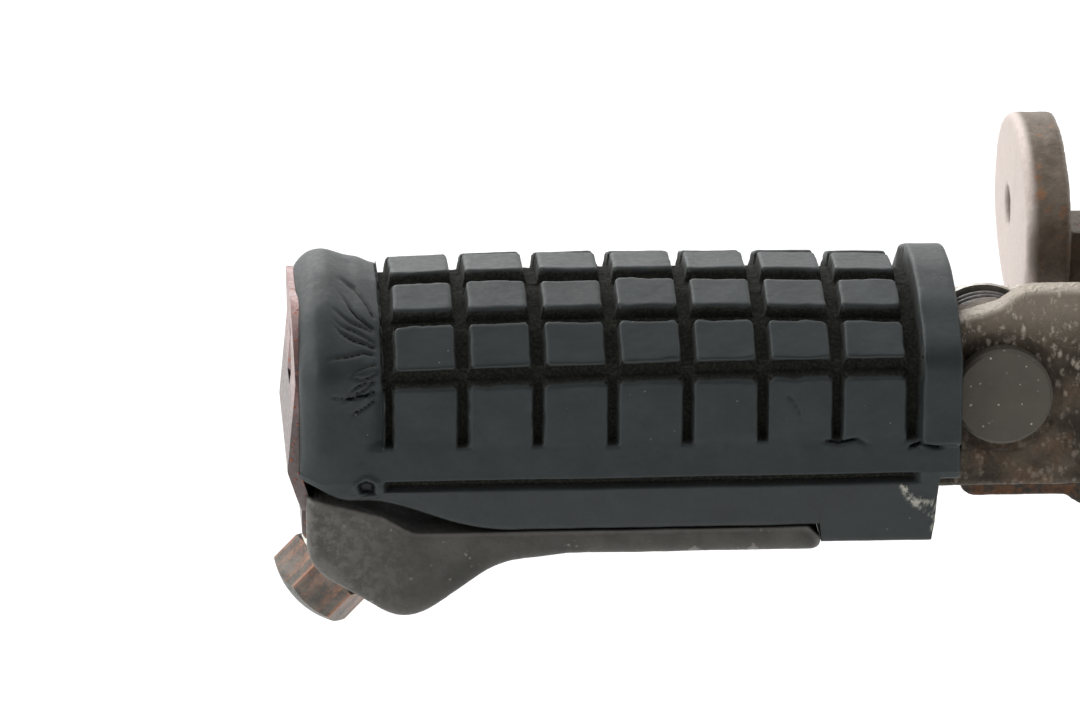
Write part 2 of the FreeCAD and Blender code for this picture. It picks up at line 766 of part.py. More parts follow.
def make_feeler_bolt():
    """Hexagon-headed bolt with a domed end, screwed into the boss."""
    body = new_body("feeler_bolt")
    head = new_sketch(body, "Hexagon", "XY_Plane")
    corner = S.feeler_flats * (1 / math.sqrt(3))
    draw_polygon(head, [(corner * math.cos(math.radians(60 * side)),
                         corner * math.sin(math.radians(60 * side))) for side in range(6)])
    add_pad(body, head, S.feeler_head)

    dome = new_sketch(body, "Dome", "XZ_Plane")
    radius = S.feeler_dome.value
    apex = S.feeler_head.value
    reach = 8.4
    drop = radius - math.sqrt(radius ** 2 - reach ** 2)
    top, rim = Vector(0, apex, 0), Vector(reach, apex - drop, 0)
    half = reach / 2
    middle = Vector(half, apex - radius + math.sqrt(radius ** 2 - half ** 2), 0)
    dome.addGeometry(Part.Arc(top, middle, rim), False)
    dome.addGeometry(Part.LineSegment(rim, Vector(reach, apex + 2, 0)), False)
    dome.addGeometry(Part.LineSegment(Vector(reach, apex + 2, 0), Vector(0, apex + 2, 0)), False)
    dome.addGeometry(Part.LineSegment(Vector(0, apex + 2, 0), top), False)
    add_turning(body, dome, "V_Axis", cut=True)

    under = new_sketch(body, "Underhead", "XZ_Plane")
    flat = S.feeler_flats * 0.49
    draw_polygon(under, [(flat, -1), (flat, 0), (flat + 3.0, 1.7), (flat + 3.0, -1)])
    add_turning(body, under, "V_Axis", cut=True)

    shank = new_sketch(body, "Shank", "XY_Plane",
                       offset=-(S.feeler_engagement + S.feeler_washer_height + S.plate_thickness))
    draw_circle(shank, 0, 0, S.feeler_radius)
    add_pad(body, shank,
            S.feeler_engagement + S.feeler_washer_height + S.plate_thickness + 1.0)
    on_feeler_axis(body, STACK)
    return body


def make_feeler_lock_washer():
    """Split spring washer under the feeler's head."""
    body = new_body("feeler_lock_washer")
    ring = new_sketch(body, "Ring", "XZ_Plane")
    inner = S.feeler_radius + 0.2
    high = S.feeler_washer_height
    draw_polygon(ring, [(inner, 0), (S.feeler_washer_radius, 0), (S.feeler_washer_radius, high),
                        (inner, high)])
    add_turning(body, ring, "V_Axis")
    split = new_sketch(body, "Split", "XY_Plane")
    draw_polygon(split, [(2.5, -0.6), (9, 0.2), (9, 1.4), (2.5, 0.6)])
    add_pocket(body, split, high, reverse=True)
    on_feeler_axis(body, S.plate_thickness.value)
    return body


# ---------------------------------------------------------------- end plate

def make_end_plate():
    """Thin plate bent from one strip: a dome over the rubber's end and a tab under the feeler."""
    thick = S.plate_thickness.value
    foot_x = -(S.feeler_apex_x.value - thick - 0.3)
    bend_station = (foot_x - BOSS_FACE.x) / SEAT_ALONG.x
    bend = BOSS_FACE + SEAT_ALONG * bend_station
    tab_end = BOSS_FACE + SEAT_ALONG * 7.4
    path = [
        Vector(-106.1, 0, S.plate_top.value),
        Vector(-105.7, 0, 4.0),
        Vector(-107.0, 0, -9.5),
        Vector(foot_x, 0, -S.plate_foot.value),
        bend,
        tab_end,
    ]
    wire = Part.makePolygon(path)
    band = wire.makeOffset2D(-thick, join=0, fill=True, openResult=True, intersection=False)
    if band.BoundBox.XMin > -107.5:
        band = wire.makeOffset2D(thick, join=0, fill=True, openResult=True, intersection=False)
    half = S.plate_half_width.value
    strip = band.extrude(Vector(0, 2 * half, 0))
    strip.translate(Vector(0, -half, 0))

    side, top, foot = half, S.plate_top.value, -S.plate_foot.value
    tab = S.tab_half_width.value
    shoulder = Vector(0, side, 1.5)
    crown = Vector(0, 7, top)
    dome_edges = [
        Part.LineSegment(Vector(0, tab, -45), Vector(0, tab, foot)),
        Part.LineSegment(Vector(0, tab, foot), Vector(0, side - 3.5, foot)),
        Part.Arc(Vector(0, side - 3.5, foot), Vector(0, side - 1.0, foot + 1.1),
                 Vector(0, side, foot + 3.5)),
        Part.LineSegment(Vector(0, side, foot + 3.5), shoulder),
        Part.Arc(shoulder, Vector(0, 15.3, 10.6), crown),
    ]
    right = [segment.toShape() for segment in dome_edges]
    left = [edge.mirror(Vector(0, 0, 0), Y_AXIS) for edge in right]
    closing = [Part.makeLine(crown, Vector(0, -crown.y, crown.z)),
               Part.makeLine(Vector(0, -tab, -45), Vector(0, tab, -45))]
    outline = Part.Wire(Part.__sortEdges__(right + left + closing))
    prism = Part.Face(outline).extrude(Vector(30, 0, 0))
    prism.translate(Vector(-120, 0, 0))
    plate = strip.common(prism)

    shank_hole = Part.makeCylinder(S.feeler_radius.value + 0.25, 20, BOSS_FACE - FEELER_OUT * 10,
                                   FEELER_OUT)
    station = Vector(-120, 0, S.plate_screw_station.value)
    screw_hole = Part.makeCylinder(S.plate_screw_radius.value + 0.2, 30, station, X_AXIS)
    sink_depth = S.plate_screw_head.value - S.plate_screw_radius.value
    sink_face = -(106.1 + thick - 0.45)
    sink = Part.makeCone(S.plate_screw_head.value + 0.6, S.plate_screw_radius.value + 0.1,
                         sink_depth + 0.5, Vector(sink_face - 0.5, 0, station.z), X_AXIS)
    plate = plate.cut(shank_hole).cut(screw_hole).cut(sink)

    feature = doc.addObject("Part::Feature", "End_plate")
    feature.Shape = plate.Solids[0]
    place_in_peg_frame(feature, "end_plate")
    return feature


def make_end_plate_screw():
    """Countersunk screw, flush with the plate, into the bar's end."""
    body = new_body("end_plate_screw")
    profile = new_sketch(body, "Profile", "XZ_Plane", shift=(0.0, S.plate_screw_station.value))
    face = -107.4
    depth = S.plate_screw_head - S.plate_screw_radius
    tip = as_size(face) + S.plate_screw_length - 1.0
    draw_polygon(profile, [
        (face, 0),
        (face, S.plate_screw_head),
        (as_size(face) + depth, S.plate_screw_radius),
        (tip, S.plate_screw_radius),
        (tip, 0),
    ])
    add_turning(body, profile, "H_Axis")
    socket = new_sketch(body, "Socket", "YZ_Plane", offset=face,
                        shift=(0.0, S.plate_screw_station.value))
    corner = 1.5 * 2 / math.sqrt(3)
    draw_polygon(socket, [(corner * math.cos(math.radians(60 * side)),
                           corner * math.sin(math.radians(60 * side))) for side in range(6)])
    add_pocket(body, socket, 1.9, reverse=True)
    return body


# ---------------------------------------------------------------- hinge pin and insides

def make_clevis_pin():
    """Flat-headed pin with a cross hole for its cotter."""
    head = -(S.ear_outer - S.spot_face_depth)
    crown = head - S.pin_head_height
    body = turned_about_pin("clevis_pin", [
        (0, crown),
        (S.pin_head_radius - 0.5, crown),
        (S.pin_head_radius, crown + 0.5),
        (S.pin_head_radius, head),
        (S.pin_radius, head),
        (S.pin_radius, S.pin_end - 0.8),
        (S.pin_radius - 0.8, S.pin_end),
        (0, S.pin_end),
    ])
    hole = new_sketch(body, "Cotter_hole", "YZ_Plane")
    draw_circle(hole, S.cotter_station, 0, S.cotter_hole_radius)
    add_pocket(body, hole, S.pin_radius * 3, symmetric=True)
    return body


def make_hinge_rings():
    """Bush, thrust washers, spring sleeve and end washer, all round the pin."""
    bore = S.pin_radius + S.running_gap
    ring_about_pin("tongue_bush", bore, S.pin_radius + S.bush_wall, -S.tongue_near, S.tongue_far)
    loose = S.pin_radius + 0.1
    near_face = -(S.ear_inner - 0.05)
    ring_about_pin("near_thrust_washer", loose, S.washer_radius, near_face,
                   near_face + S.washer_height)
    far_face = S.ear_inner - 0.05
    ring_about_pin("far_thrust_washer", loose, S.washer_radius, far_face - S.washer_height, far_face)
    ring_about_pin("spring_sleeve", loose, S.pin_radius + S.sleeve_wall, S.tongue_far + 0.05,
                   far_face - S.washer_height - 0.05)
    washer_low = S.ear_outer + 0.05
    ring_about_pin("pin_washer", S.pin_radius + 0.2, S.pin_washer_radius, washer_low,
                   washer_low + S.pin_washer_height)


def make_return_spring():
    """Torsion spring on the sleeve: one leg in the core's web, one in the bracket's flange."""
    wire = S.spring_wire.value / 2
    radius = S.spring_radius.value
    pitch = S.spring_pitch.value
    turns = int(S.spring_turns.value)
    per_turn = 4

    def coil(share):
        """Point and direction of the wire after that share of a turn, from under the pin."""
        angle = 2 * math.pi * share
        point = Vector(-radius * math.sin(angle), S.spring_start.value + pitch * share,
                       -radius * math.cos(angle))
        way = Vector(-2 * math.pi * radius * math.cos(angle), pitch,
                     2 * math.pi * radius * math.sin(angle))
        return point, way.normalize()

    fixed_end, fixed_way = coil(0)
    moving_end, moving_way = coil(turns)
    tip = fixed_end - fixed_way * S.fixed_leg.value
    edges = [Part.LineSegment(tip, fixed_end)]
    for step in range(turns * per_turn):
        low, middle, high = (coil((step + share) / per_turn)[0] for share in (0, 0.5, 1))
        edges.append(Part.Arc(low, middle, high))
    edges.append(Part.LineSegment(moving_end, moving_end + moving_way * S.moving_leg.value))
    path = Part.Wire([segment.toShape() for segment in edges])
    section = Part.Wire(Part.makeCircle(wire, tip, fixed_way))
    feature = doc.addObject("Part::Feature", "Return_spring")
    feature.Shape = path.makePipeShell([section], True, False, 2)
    place_in_peg_frame(feature, "return_spring")
    return feature


def make_cotter_pin():
    """Split cotter through the pin's end: two legs from one eye, their ends spread."""
    wire = S.cotter_wire.value
    leg = wire + 0.04
    eye = S.cotter_eye.value
    spread = S.cotter_spread.value
    neck, bottom = S.cotter_neck.value, -(S.pin_radius.value + 0.3)
    eye_top = neck + math.sqrt(eye ** 2 - leg ** 2) + eye
    bow = spread * math.sin(math.pi / 4)

    def at(z, x):
        return Vector(x, S.cotter_station.value, z)

    def foot(side):
        """Points of one spread end, from the straight leg to the tip."""
        return (at(side * leg, bottom), at(side * (leg + spread - bow), bottom - bow),
                at(side * (leg + spread), bottom - spread))

    left, right = foot(-1), foot(1)
    edges = [
        Part.Arc(left[2], left[1], left[0]),
        Part.LineSegment(left[0], at(-leg, neck)),
        Part.Arc(at(-leg, neck), at(0, eye_top), at(leg, neck)),
        Part.LineSegment(at(leg, neck), right[0]),
        Part.Arc(right[0], right[1], right[2]),
    ]
    path = Part.Wire([segment.toShape() for segment in edges])
    section = Part.Wire(Part.makeCircle(wire, left[2], Z_AXIS))
    feature = doc.addObject("Part::Feature", "Cotter_pin")
    feature.Shape = path.makePipeShell([section], True, False, 2)
    place_in_peg_frame(feature, "cotter_pin")
    return feature


# ---------------------------------------------------------------- bracket
#
# One casting on the real part. Its flange, tongue and lug arm are nodes of their own that meet
# at the flange's front face, so that the room between them stays open for collision.

FLANGE_FRONT = S.pin_setback - S.flange_thickness


def make_hinge_bracket():
    """Mounting flange with two tapped holes, two stop pads and the spring leg's hole."""
    body = new_body("hinge_bracket")
    flange = new_sketch(body, "Flange", "YZ_Plane", offset=FLANGE_FRONT)
    high, wide, nose = S.flange_half_height, S.flange_half_width, S.flange_nose
    draw_polygon(flange, [
        (-nose, -high), (nose, -high), (wide, -S.flange_shoulder), (S.arm_far, -S.arm_bottom),
        (S.arm_far, S.arm_top), (wide, S.arm_top + 2.0), (nose, high), (-nose, high),
        (-wide, S.flange_shoulder), (-wide, -S.flange_shoulder),
    ])
    add_pad(body, flange, S.flange_thickness)
    add_fillet(body, 7.5, lambda edge: runs_along(edge, X_AXIS)
               and abs(edge.Vertexes[0].Y) < nose.value + 0.1)
    for radius, corner in ((5.0, -wide.value), (4.0, wide.value)):
        add_fillet(body, radius, lambda edge: runs_along(edge, X_AXIS)
                   and abs(edge.Vertexes[0].Y - corner) < 0.1)

    for sign in (-1, 1):
        name = "Stop_near" if sign < 0 else "Stop_far"
        stop = new_sketch(body, name, "YZ_Plane", offset=S.ear_heel + 0.1)
        low, high_edge = sorted((sign * (S.ear_inner.value + 0.2), sign * S.ear_outer.value))
        draw_polygon(stop, [(low, -S.ear_bottom), (high_edge, -S.ear_bottom),
                            (high_edge, -S.stop_top), (low, -S.stop_top)])
        add_pad(body, stop, FLANGE_FRONT - S.ear_heel + 0.5)

    for number, sign in enumerate((-1, 1), start=1):
        hole = new_sketch(body, "Mount_hole_%d" % number, "YZ_Plane", offset=FLANGE_FRONT - 1.0)
        draw_circle(hole, 0, S.mount_spacing * (sign * 0.5), S.mount_hole_radius)
        add_pocket(body, hole, S.flange_thickness + 5.0, reverse=True)

    leg_hole = new_sketch(body, "Spring_leg_hole", "YZ_Plane", offset=FLANGE_FRONT - 1.0)
    draw_circle(leg_hole, S.spring_start - S.fixed_leg * SPRING_LEAD, -S.spring_radius,
                S.spring_wire * 0.8)
    add_pocket(body, leg_hole, 5.0, reverse=True)
    return body


def make_hinge_tongue():
    """Plate that stands out of the flange between the peg's ears and carries the bush."""
    body = new_body("hinge_tongue")
    tongue = new_sketch(body, "Tongue", "XZ_Plane", offset=-S.tongue_far)
    draw_polygon(tongue, [
        (-S.tongue_foot_end, 0), (-S.tongue_foot_end, -S.tongue_foot),
        (S.tongue_neck, -S.tongue_foot), (FLANGE_FRONT, -S.gusset_foot),
        (FLANGE_FRONT, S.tongue_top), (S.tongue_neck, S.tongue_top), (0, S.tongue_radius),
    ])
    add_pad(body, tongue, S.tongue_near + S.tongue_far)
    add_fillet(body, 3.0, lambda edge: runs_along(edge, Y_AXIS)
               and near_point(edge, -S.tongue_foot_end.value, -S.tongue_foot.value))
    nose = new_sketch(body, "Nose", "XZ_Plane", offset=-S.tongue_far)
    draw_circle(nose, 0, 0, S.tongue_radius)
    add_pad(body, nose, S.tongue_near + S.tongue_far)
    bore = new_sketch(body, "Bush_bore", "XZ_Plane")
    draw_circle(bore, 0, 0, S.pin_radius + S.bush_wall)
    add_pocket(body, bore, S.ear_outer * 3, symmetric=True)
    return body


def make_lug_arm():
    """Short arm on the flange's far side with an oval lug across its end."""
    body = new_body("lug_arm")
    lug = new_sketch(body, "Lug", "YZ_Plane", offset=S.lug_front)
    centre = Vector(S.lug_station.value, S.lug_height.value, 0)
    ellipse = Part.Ellipse(centre, S.lug_half_width.value, S.lug_half_height.value)
    lug.addGeometry(ellipse, False)
    add_pad(body, lug, S.lug_thickness)
    add_fillet(body, 1.5, lambda edge: edge.Curve.TypeId == "Part::GeomEllipse"
               and edge.BoundBox.XMax < S.lug_front.value + 0.1)

    start = S.lug_front + S.lug_thickness - 2.0
    arm = new_sketch(body, "Arm", "YZ_Plane", offset=start)
    draw_polygon(arm, [(S.arm_near, -S.arm_bottom), (S.arm_far, -S.arm_bottom),
                       (S.arm_far, S.arm_top), (S.arm_near, S.arm_top)])
    add_pad(body, arm, FLANGE_FRONT - start)

    hole = new_sketch(body, "Lug_hole", "YZ_Plane", offset=S.lug_front - 5.0)
    draw_circle(hole, S.lug_station + S.lug_hole_shift, S.lug_height, S.lug_hole_radius)
    add_pocket(body, hole, S.lug_thickness * 3, reverse=True)
    return body


# ---------------------------------------------------------------- build and write

make_hinge_bracket()
make_hinge_tongue()
make_lug_arm()
make_peg_core()
make_rubber_pad()
make_skid_rail()
make_rail_fasteners()
make_feeler_bolt()
make_feeler_lock_washer()
make_end_plate()
make_end_plate_screw()
make_clevis_pin()
make_hinge_rings()
make_return_spring()
make_cotter_pin()
doc.recompute()

for item in doc.Objects:
    if "Invalid" in item.State or "Error" in item.State:
        raise RuntimeError("%s failed: %s" % (item.Label, item.State))
for name, item in nodes.items():
    shape = item.Shape
    if shape.isNull() or not shape.isValid():
        raise RuntimeError(name + " has no valid shape")

os.makedirs("parts", exist_ok=True)
for name, item in nodes.items():
    item.Shape.exportStep("parts/%s.step" % name)
    box = item.Shape.BoundBox
    print("%-20s solids %d volume %9.1f  X %.1f %.1f  Y %.1f %.1f  Z %.1f %.1f" % (
        name, len(item.Shape.Solids), item.Shape.Volume, box.XMin, box.XMax, box.YMin, box.YMax,
        box.ZMin, box.ZMax))
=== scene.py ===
import json
import math

import bpy
import numpy as np
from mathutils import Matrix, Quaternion, Vector


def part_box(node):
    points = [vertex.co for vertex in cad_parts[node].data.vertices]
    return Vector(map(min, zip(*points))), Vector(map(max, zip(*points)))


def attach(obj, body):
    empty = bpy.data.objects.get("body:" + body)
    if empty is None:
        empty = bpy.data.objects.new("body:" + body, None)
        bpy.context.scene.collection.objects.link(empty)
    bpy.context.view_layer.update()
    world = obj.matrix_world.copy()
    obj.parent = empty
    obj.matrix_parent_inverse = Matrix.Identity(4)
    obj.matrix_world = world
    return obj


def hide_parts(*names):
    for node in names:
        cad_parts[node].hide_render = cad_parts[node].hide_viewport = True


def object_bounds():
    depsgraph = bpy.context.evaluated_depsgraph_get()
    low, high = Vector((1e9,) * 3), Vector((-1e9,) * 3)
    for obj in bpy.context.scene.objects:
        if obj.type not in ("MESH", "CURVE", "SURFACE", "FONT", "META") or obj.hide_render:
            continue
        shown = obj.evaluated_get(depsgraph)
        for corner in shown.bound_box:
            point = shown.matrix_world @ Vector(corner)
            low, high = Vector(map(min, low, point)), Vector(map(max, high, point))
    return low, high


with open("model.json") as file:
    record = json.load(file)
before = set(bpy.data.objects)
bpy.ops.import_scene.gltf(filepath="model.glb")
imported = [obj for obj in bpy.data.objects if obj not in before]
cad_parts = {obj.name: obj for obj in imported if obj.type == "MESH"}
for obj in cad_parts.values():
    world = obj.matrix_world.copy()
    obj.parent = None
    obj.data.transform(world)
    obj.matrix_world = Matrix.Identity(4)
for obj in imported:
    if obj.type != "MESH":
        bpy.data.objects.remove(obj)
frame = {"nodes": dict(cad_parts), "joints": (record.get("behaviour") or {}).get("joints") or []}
cad_low, cad_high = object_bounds()

# Folding foot peg. Lengths below are millimetres from the hinge pin's axis ("peg frame"): x runs
# inboard, y away from the camera and z up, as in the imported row. to_row() turns them into metres
# of the row frame.

MM = 0.001
PIN_X = frame["joints"][0]["pos_m"][0] / MM
PAD_LOW, PAD_HIGH = (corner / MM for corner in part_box("rubber_pad"))
PAD_START = PAD_HIGH.x - PIN_X          # inboard end of the rubber
PAD_END = PAD_LOW.x - PIN_X             # outboard end
SEED = 20


def to_row(points):
    """Peg-frame millimetres to row-frame metres."""
    return (np.asarray(points, float) + (PIN_X, 0.0, 0.0)) * MM


def ease(low, high, value):
    """0 below low, 1 above high and smooth between; low may be the larger."""
    t = np.clip((value - low) / (high - low), 0.0, 1.0)
    return t * t * (3.0 - 2.0 * t)


def field(u, v, cell, seed):
    """Smooth random field in -1..1 with features about one cell wide."""
    u, v = np.broadcast_arrays(np.asarray(u, float) / cell, np.asarray(v, float) / cell)
    low_u, low_v = math.floor(u.min()), math.floor(v.min())
    u, v = u - low_u, v - low_v
    shape = (int(u.max()) + 2, int(v.max()) + 2)
    lattice = np.random.default_rng(SEED + seed).uniform(-1.0, 1.0, shape)
    i, j = u.astype(int), v.astype(int)
    a, b = ease(0.0, 1.0, u - i), ease(0.0, 1.0, v - j)
    low = lattice[i, j] * (1 - a) + lattice[i + 1, j] * a
    high = lattice[i, j + 1] * (1 - a) + lattice[i + 1, j + 1] * a
    return low * (1 - b) + high * b


def rough_field(u, v, cell, seed, octaves=3):
    """Sum of fields, each half as wide and half as high as the last."""
    total = 0.0
    for octave in range(octaves):
        total = total + field(u, v, cell / 2 ** octave, seed + 7 * octave) / 2 ** octave
    return total


# ---------------------------------------------------------------- material helpers

class Look:
    """A Principled material, built from short calls that each add one node."""

    def __init__(self, name, roughness=0.6, metallic=0.0, specular=0.5):
        self.material = bpy.data.materials.new(name)
        self.material.use_nodes = True
        self.tree = self.material.node_tree
        self.shader = self.tree.nodes["Principled BSDF"]
        self.shader.inputs["Roughness"].default_value = roughness
        self.shader.inputs["Metallic"].default_value = metallic
        self.shader.inputs["Specular IOR Level"].default_value = specular
        self.place = self.add("ShaderNodeTexCoord").outputs["Object"]

    def add(self, kind, values=(), **options):
        """Add a node with its input values and its options."""
        node = self.tree.nodes.new(kind)
        for key, value in options.items():
            setattr(node, key, value)
        for key, value in dict(values).items():
            self.feed(node.inputs[key], value)
        return node

    def feed(self, socket, value):
        """Link a socket or set a plain value."""
        if isinstance(value, bpy.types.NodeSocket):
            self.tree.links.new(value, socket)
        elif isinstance(value, tuple) and len(value) == 3 and socket.type == "RGBA":
            socket.default_value = (*value, 1.0)
        else:
            socket.default_value = value

    def stretched(self, stretch):
        """Place on the object, scaled per axis where a stretch is given."""
        if not stretch:
            return self.place
        return self.add("ShaderNodeMapping", {"Vector": self.place, "Scale": stretch}).outputs[0]

    def noise(self, size, detail=4.0, rough=0.6, stretch=None):
        """Noise whose features are about size millimetres wide."""
        values = {"Vector": self.stretched(stretch), "Scale": 1.0 / (size * MM),
                  "Detail": detail, "Roughness": rough}
        return self.add("ShaderNodeTexNoise", values).outputs["Fac"]

    def cells(self, size, stretch=None, warp=None):
        """Distance in a cell pattern; warp is the (size, amount) of its unevenness."""
        place = self.stretched(stretch)
        if warp:
            size_of_warp, amount = warp
            shift = self.add("ShaderNodeTexNoise", {
                "Vector": self.place, "Scale": 1.0 / (size_of_warp * MM), "Detail": 3.0})
            offset = self.add("ShaderNodeVectorMath", {0: shift.outputs["Color"], "Scale": amount * MM},
                              operation="SCALE").outputs[0]
            place = self.add("ShaderNodeVectorMath", {0: place, 1: offset},
                             operation="ADD").outputs[0]
        node = self.add("ShaderNodeTexVoronoi", {"Vector": place, "Scale": 1.0 / (size * MM)})
        return node.outputs["Distance"]

    def stored(self, name):
        """A number stored in the mesh."""
        return self.add("ShaderNodeAttribute", attribute_name=name).outputs["Fac"]

    def corner(self):
        """High on outer edges and low in hollows."""
        return self.add("ShaderNodeNewGeometry").outputs["Pointiness"]

    def along(self, axis):
        """Place along an axis of the row frame, in millimetres."""
        parts = self.add("ShaderNodeSeparateXYZ", {0: self.place})
        return self.math("MULTIPLY", parts.outputs[axis], 1.0 / MM)

    def upward(self):
        """Height component of the surface's own normal."""
        normal = self.add("ShaderNodeTexCoord").outputs["Normal"]
        return self.add("ShaderNodeSeparateXYZ", {0: normal}).outputs[2]

    def shelter(self, reach):
        """0 in deep corners and 1 in the open, looking reach millimetres around."""
        return self.add("ShaderNodeAmbientOcclusion", {"Distance": reach * MM},
                        samples=8).outputs["AO"]

    def math(self, operation, a, b=0.5, c=0.5):
        return self.add("ShaderNodeMath", {0: a, 1: b, 2: c}, operation=operation).outputs[0]

    def times(self, a, b):
        return self.math("MULTIPLY", a, b)

    def between(self, value, low, high, start=0.0, end=1.0):
        """start below low, end above high and smooth between."""
        node = self.add("ShaderNodeMapRange", {
            "Value": value, "From Min": low, "From Max": high, "To Min": start, "To Max": end},
            interpolation_type="SMOOTHSTEP")
        return node.outputs[0]

    def mix(self, share, a, b):
        """Colour a where share is 0 and b where it is 1."""
        node = self.add("ShaderNodeMix", data_type="RGBA")
        self.feed(node.inputs["Factor"], share)
        self.feed(node.inputs[6], a)
        self.feed(node.inputs[7], b)
        return node.outputs[2]

    def finish(self, colour, roughness=None, bumps=(), metallic=None):
        """Connect colour, roughness and bumps, given as (height, millimetres)."""
        self.feed(self.shader.inputs["Base Color"], colour)
        if roughness is not None:
            self.feed(self.shader.inputs["Roughness"], roughness)
        if metallic is not None:
            self.feed(self.shader.inputs["Metallic"], metallic)
        normal = None
        for height, depth in bumps:
            values = {"Height": height, "Distance": depth * MM, "Strength": 1.0}
            if normal:
                values["Normal"] = normal
            normal = self.add("ShaderNodeBump", values).outputs[0]
        if normal:
            self.feed(self.shader.inputs["Normal"], normal)
        return self.material


def paint(name, material):
    """Give a CAD node its material."""
    data = frame["nodes"][name].data
    data.materials.clear()
    data.materials.append(material)


# ---------------------------------------------------------------- rubber pad

COLLAR_LENGTH = 12.5
COLLAR_GROOVE = 2.0             # between the collar and the first block
RING_LENGTH = 6.05
RING_EDGE = PAD_START - RING_LENGTH
BLOCK_COUNT = 7
BLOCK_GROOVE = 2.35             # between two blocks
ROW_MARGIN = 2.3                # left over after the pitches, from collar to ring
BLOCK_PITCH = (RING_EDGE - PAD_END - COLLAR_LENGTH - ROW_MARGIN) / BLOCK_COUNT
BLOCK_LENGTH = BLOCK_PITCH - BLOCK_GROOVE
FIRST_BLOCK = PAD_END + COLLAR_LENGTH + COLLAR_GROOVE
GROOVE_DEPTH = 2.5
SIDE = 22.0                     # half width of the block faces
CREST = 16.9                    # height of the top row
SLOT_FOOT = -5.3                # where the side slots end
WALL_FOOT = -10.5               # lower edge of the smooth side
LIP_TOP = -12.3
LIP_FOOT = -19.0
DEEP_LIP = (-27.9, -10.4)       # the part of the lip that hangs lower
DEEP_FOOT = -22.0
BELOW_SLOTS = SLOT_FOOT - 3.0   # the lip and its undercut are shaped only below this
RING_FOOT = (-6.6, -5.7)        # over this height the ring rises out of the side
SLOT_HALF = 8.0                 # half width of the open slot between the lips
BAR_FLOOR = -13.75              # underside of the room for the core's bar
EAR_FLOOR = -13.9               # and of the room for the ears' root
FAR = 50.0                      # a distance beyond the reach of any groove

# corners (y, z) of half the section, from the side's plain foot to the crest
SECTION = [
    (SIDE, SLOT_FOOT), (SIDE, 4.46), (SIDE, 7.48), (16.0, 12.27), (14.1, 13.85), (7.1, 16.15),
    (4.4, CREST),
]
ROW_GROOVES = [1, 3, 5]         # steps of SECTION that are grooves
LIP_CORNERS = 3                 # corners of the half section below SECTION's own
SMOOTHING_PASSES = 90


def block_grooves():
    """(start, end) of each cross groove, outboard first."""
    starts = [PAD_END + COLLAR_LENGTH]
    starts += [FIRST_BLOCK + BLOCK_PITCH * n + BLOCK_LENGTH for n in range(BLOCK_COUNT)]
    ends = [FIRST_BLOCK + BLOCK_PITCH * n for n in range(BLOCK_COUNT)] + [RING_EDGE]
    return list(zip(starts, ends))


def spread(marks, step):
    """Stations through all marks, no further apart than step."""
    marks = sorted(marks)
    stations = [marks[0]]
    for low, high in zip(marks, marks[1:]):
        if high - low < 1e-6:
            continue
        count = max(1, math.ceil((high - low) / step))
        stations += [low + (high - low) * n / count for n in range(1, count + 1)]
    return np.array(stations)


def pad_stations():
    """Stations along the pad, closer on the collar and round each groove's edges."""
    marks = [PAD_END, PAD_START, PAD_START - 0.15, PAD_START - 0.4, PAD_START - 0.8]
    marks += [PAD_END + 0.12, PAD_END + 0.35, PAD_END + 0.7]
    for start, end in block_grooves():
        for offset in (0.0, 0.3, -0.12, -0.35, -0.7):
            marks += [start + offset, end - offset]
    marks += [edge + offset for edge in DEEP_LIP for offset in (-0.15, 0.15)]
    fine = spread([m for m in marks if m <= FIRST_BLOCK] + [FIRST_BLOCK], 0.18)
    rest = spread([m for m in marks if m >= FIRST_BLOCK] + [FIRST_BLOCK], 0.4)
    return np.concatenate([fine, rest[1:]])


def lip_foot(x):
    """Lower edge of the lip: it rises towards the collar and hangs lower near the hinge."""
    rise = 5.3 * ease(-72.0, -98.0, x) ** 1.5 + 2.8 * ease(-99.0, PAD_END, x)
    deep = ease(DEEP_LIP[0] - 0.15, DEEP_LIP[0] + 0.15, x)
    inboard = ease(DEEP_LIP[1] - 0.6, DEEP_LIP[1] + 0.6, x)
    return LIP_FOOT + rise + (DEEP_FOOT - LIP_FOOT) * deep * (1 - inboard) + 7.0 * inboard


def share_along(x):
    """0 at the first block and 1 at the ring."""
    return np.clip((x - FIRST_BLOCK) / (RING_EDGE - FIRST_BLOCK), 0.0, 1.0)


def hump(x):
    """Rise of the upper rows: the pad is a little higher in its middle."""
    share = share_along(x)
    return 1.85 * share - 2.5 * share ** 2


def settle(x):
    """Drop of the near side's low groove: it runs downhill towards the collar."""
    share = share_along(x)
    return 0.45 - 1.9 * share + 1.05 * share ** 2


def half_section(x, side):
    """Corners (y, z) of one half of the section at each station, foot first."""
    foot = lip_foot(x)
    lip_top = np.maximum(LIP_TOP, foot + 0.7)
    wall_foot = np.maximum(WALL_FOOT, foot + 1.4)
    inset = 0.45 * ease(-18.9, -19.4, foot)
    corners = [(SIDE - 0.5 - inset, foot), (SIDE - 0.1, lip_top), (SIDE + 0.25, wall_foot)]
    corners += [(y + 0 * x, z + 0 * x) for y, z in SECTION]
    moved = []
    for number, (y, z) in enumerate(corners):
        if number > LIP_CORNERS + 2:
            z = z + hump(x)
        elif number > LIP_CORNERS and side < 0:
            z = z - settle(x)
        moved.append((side * y * np.ones_like(x), z * np.ones_like(x)))
    return moved


def steps_between(corners):
    """Fractions of each step of the section, closer at the grooves' edges."""
    fractions = []
    for (y0, z0), (y1, z1) in zip(corners, corners[1:]):
        length = math.hypot(y1[0] - y0[0], z1[0] - z0[0])
        near = [offset / length for offset in (0.12, 0.35) if length > 1.2]
        marks = [0.0, 1.0] + near + [1 - share for share in near]
        fractions.append(spread(marks, 0.36 / length)[:-1])
    return fractions


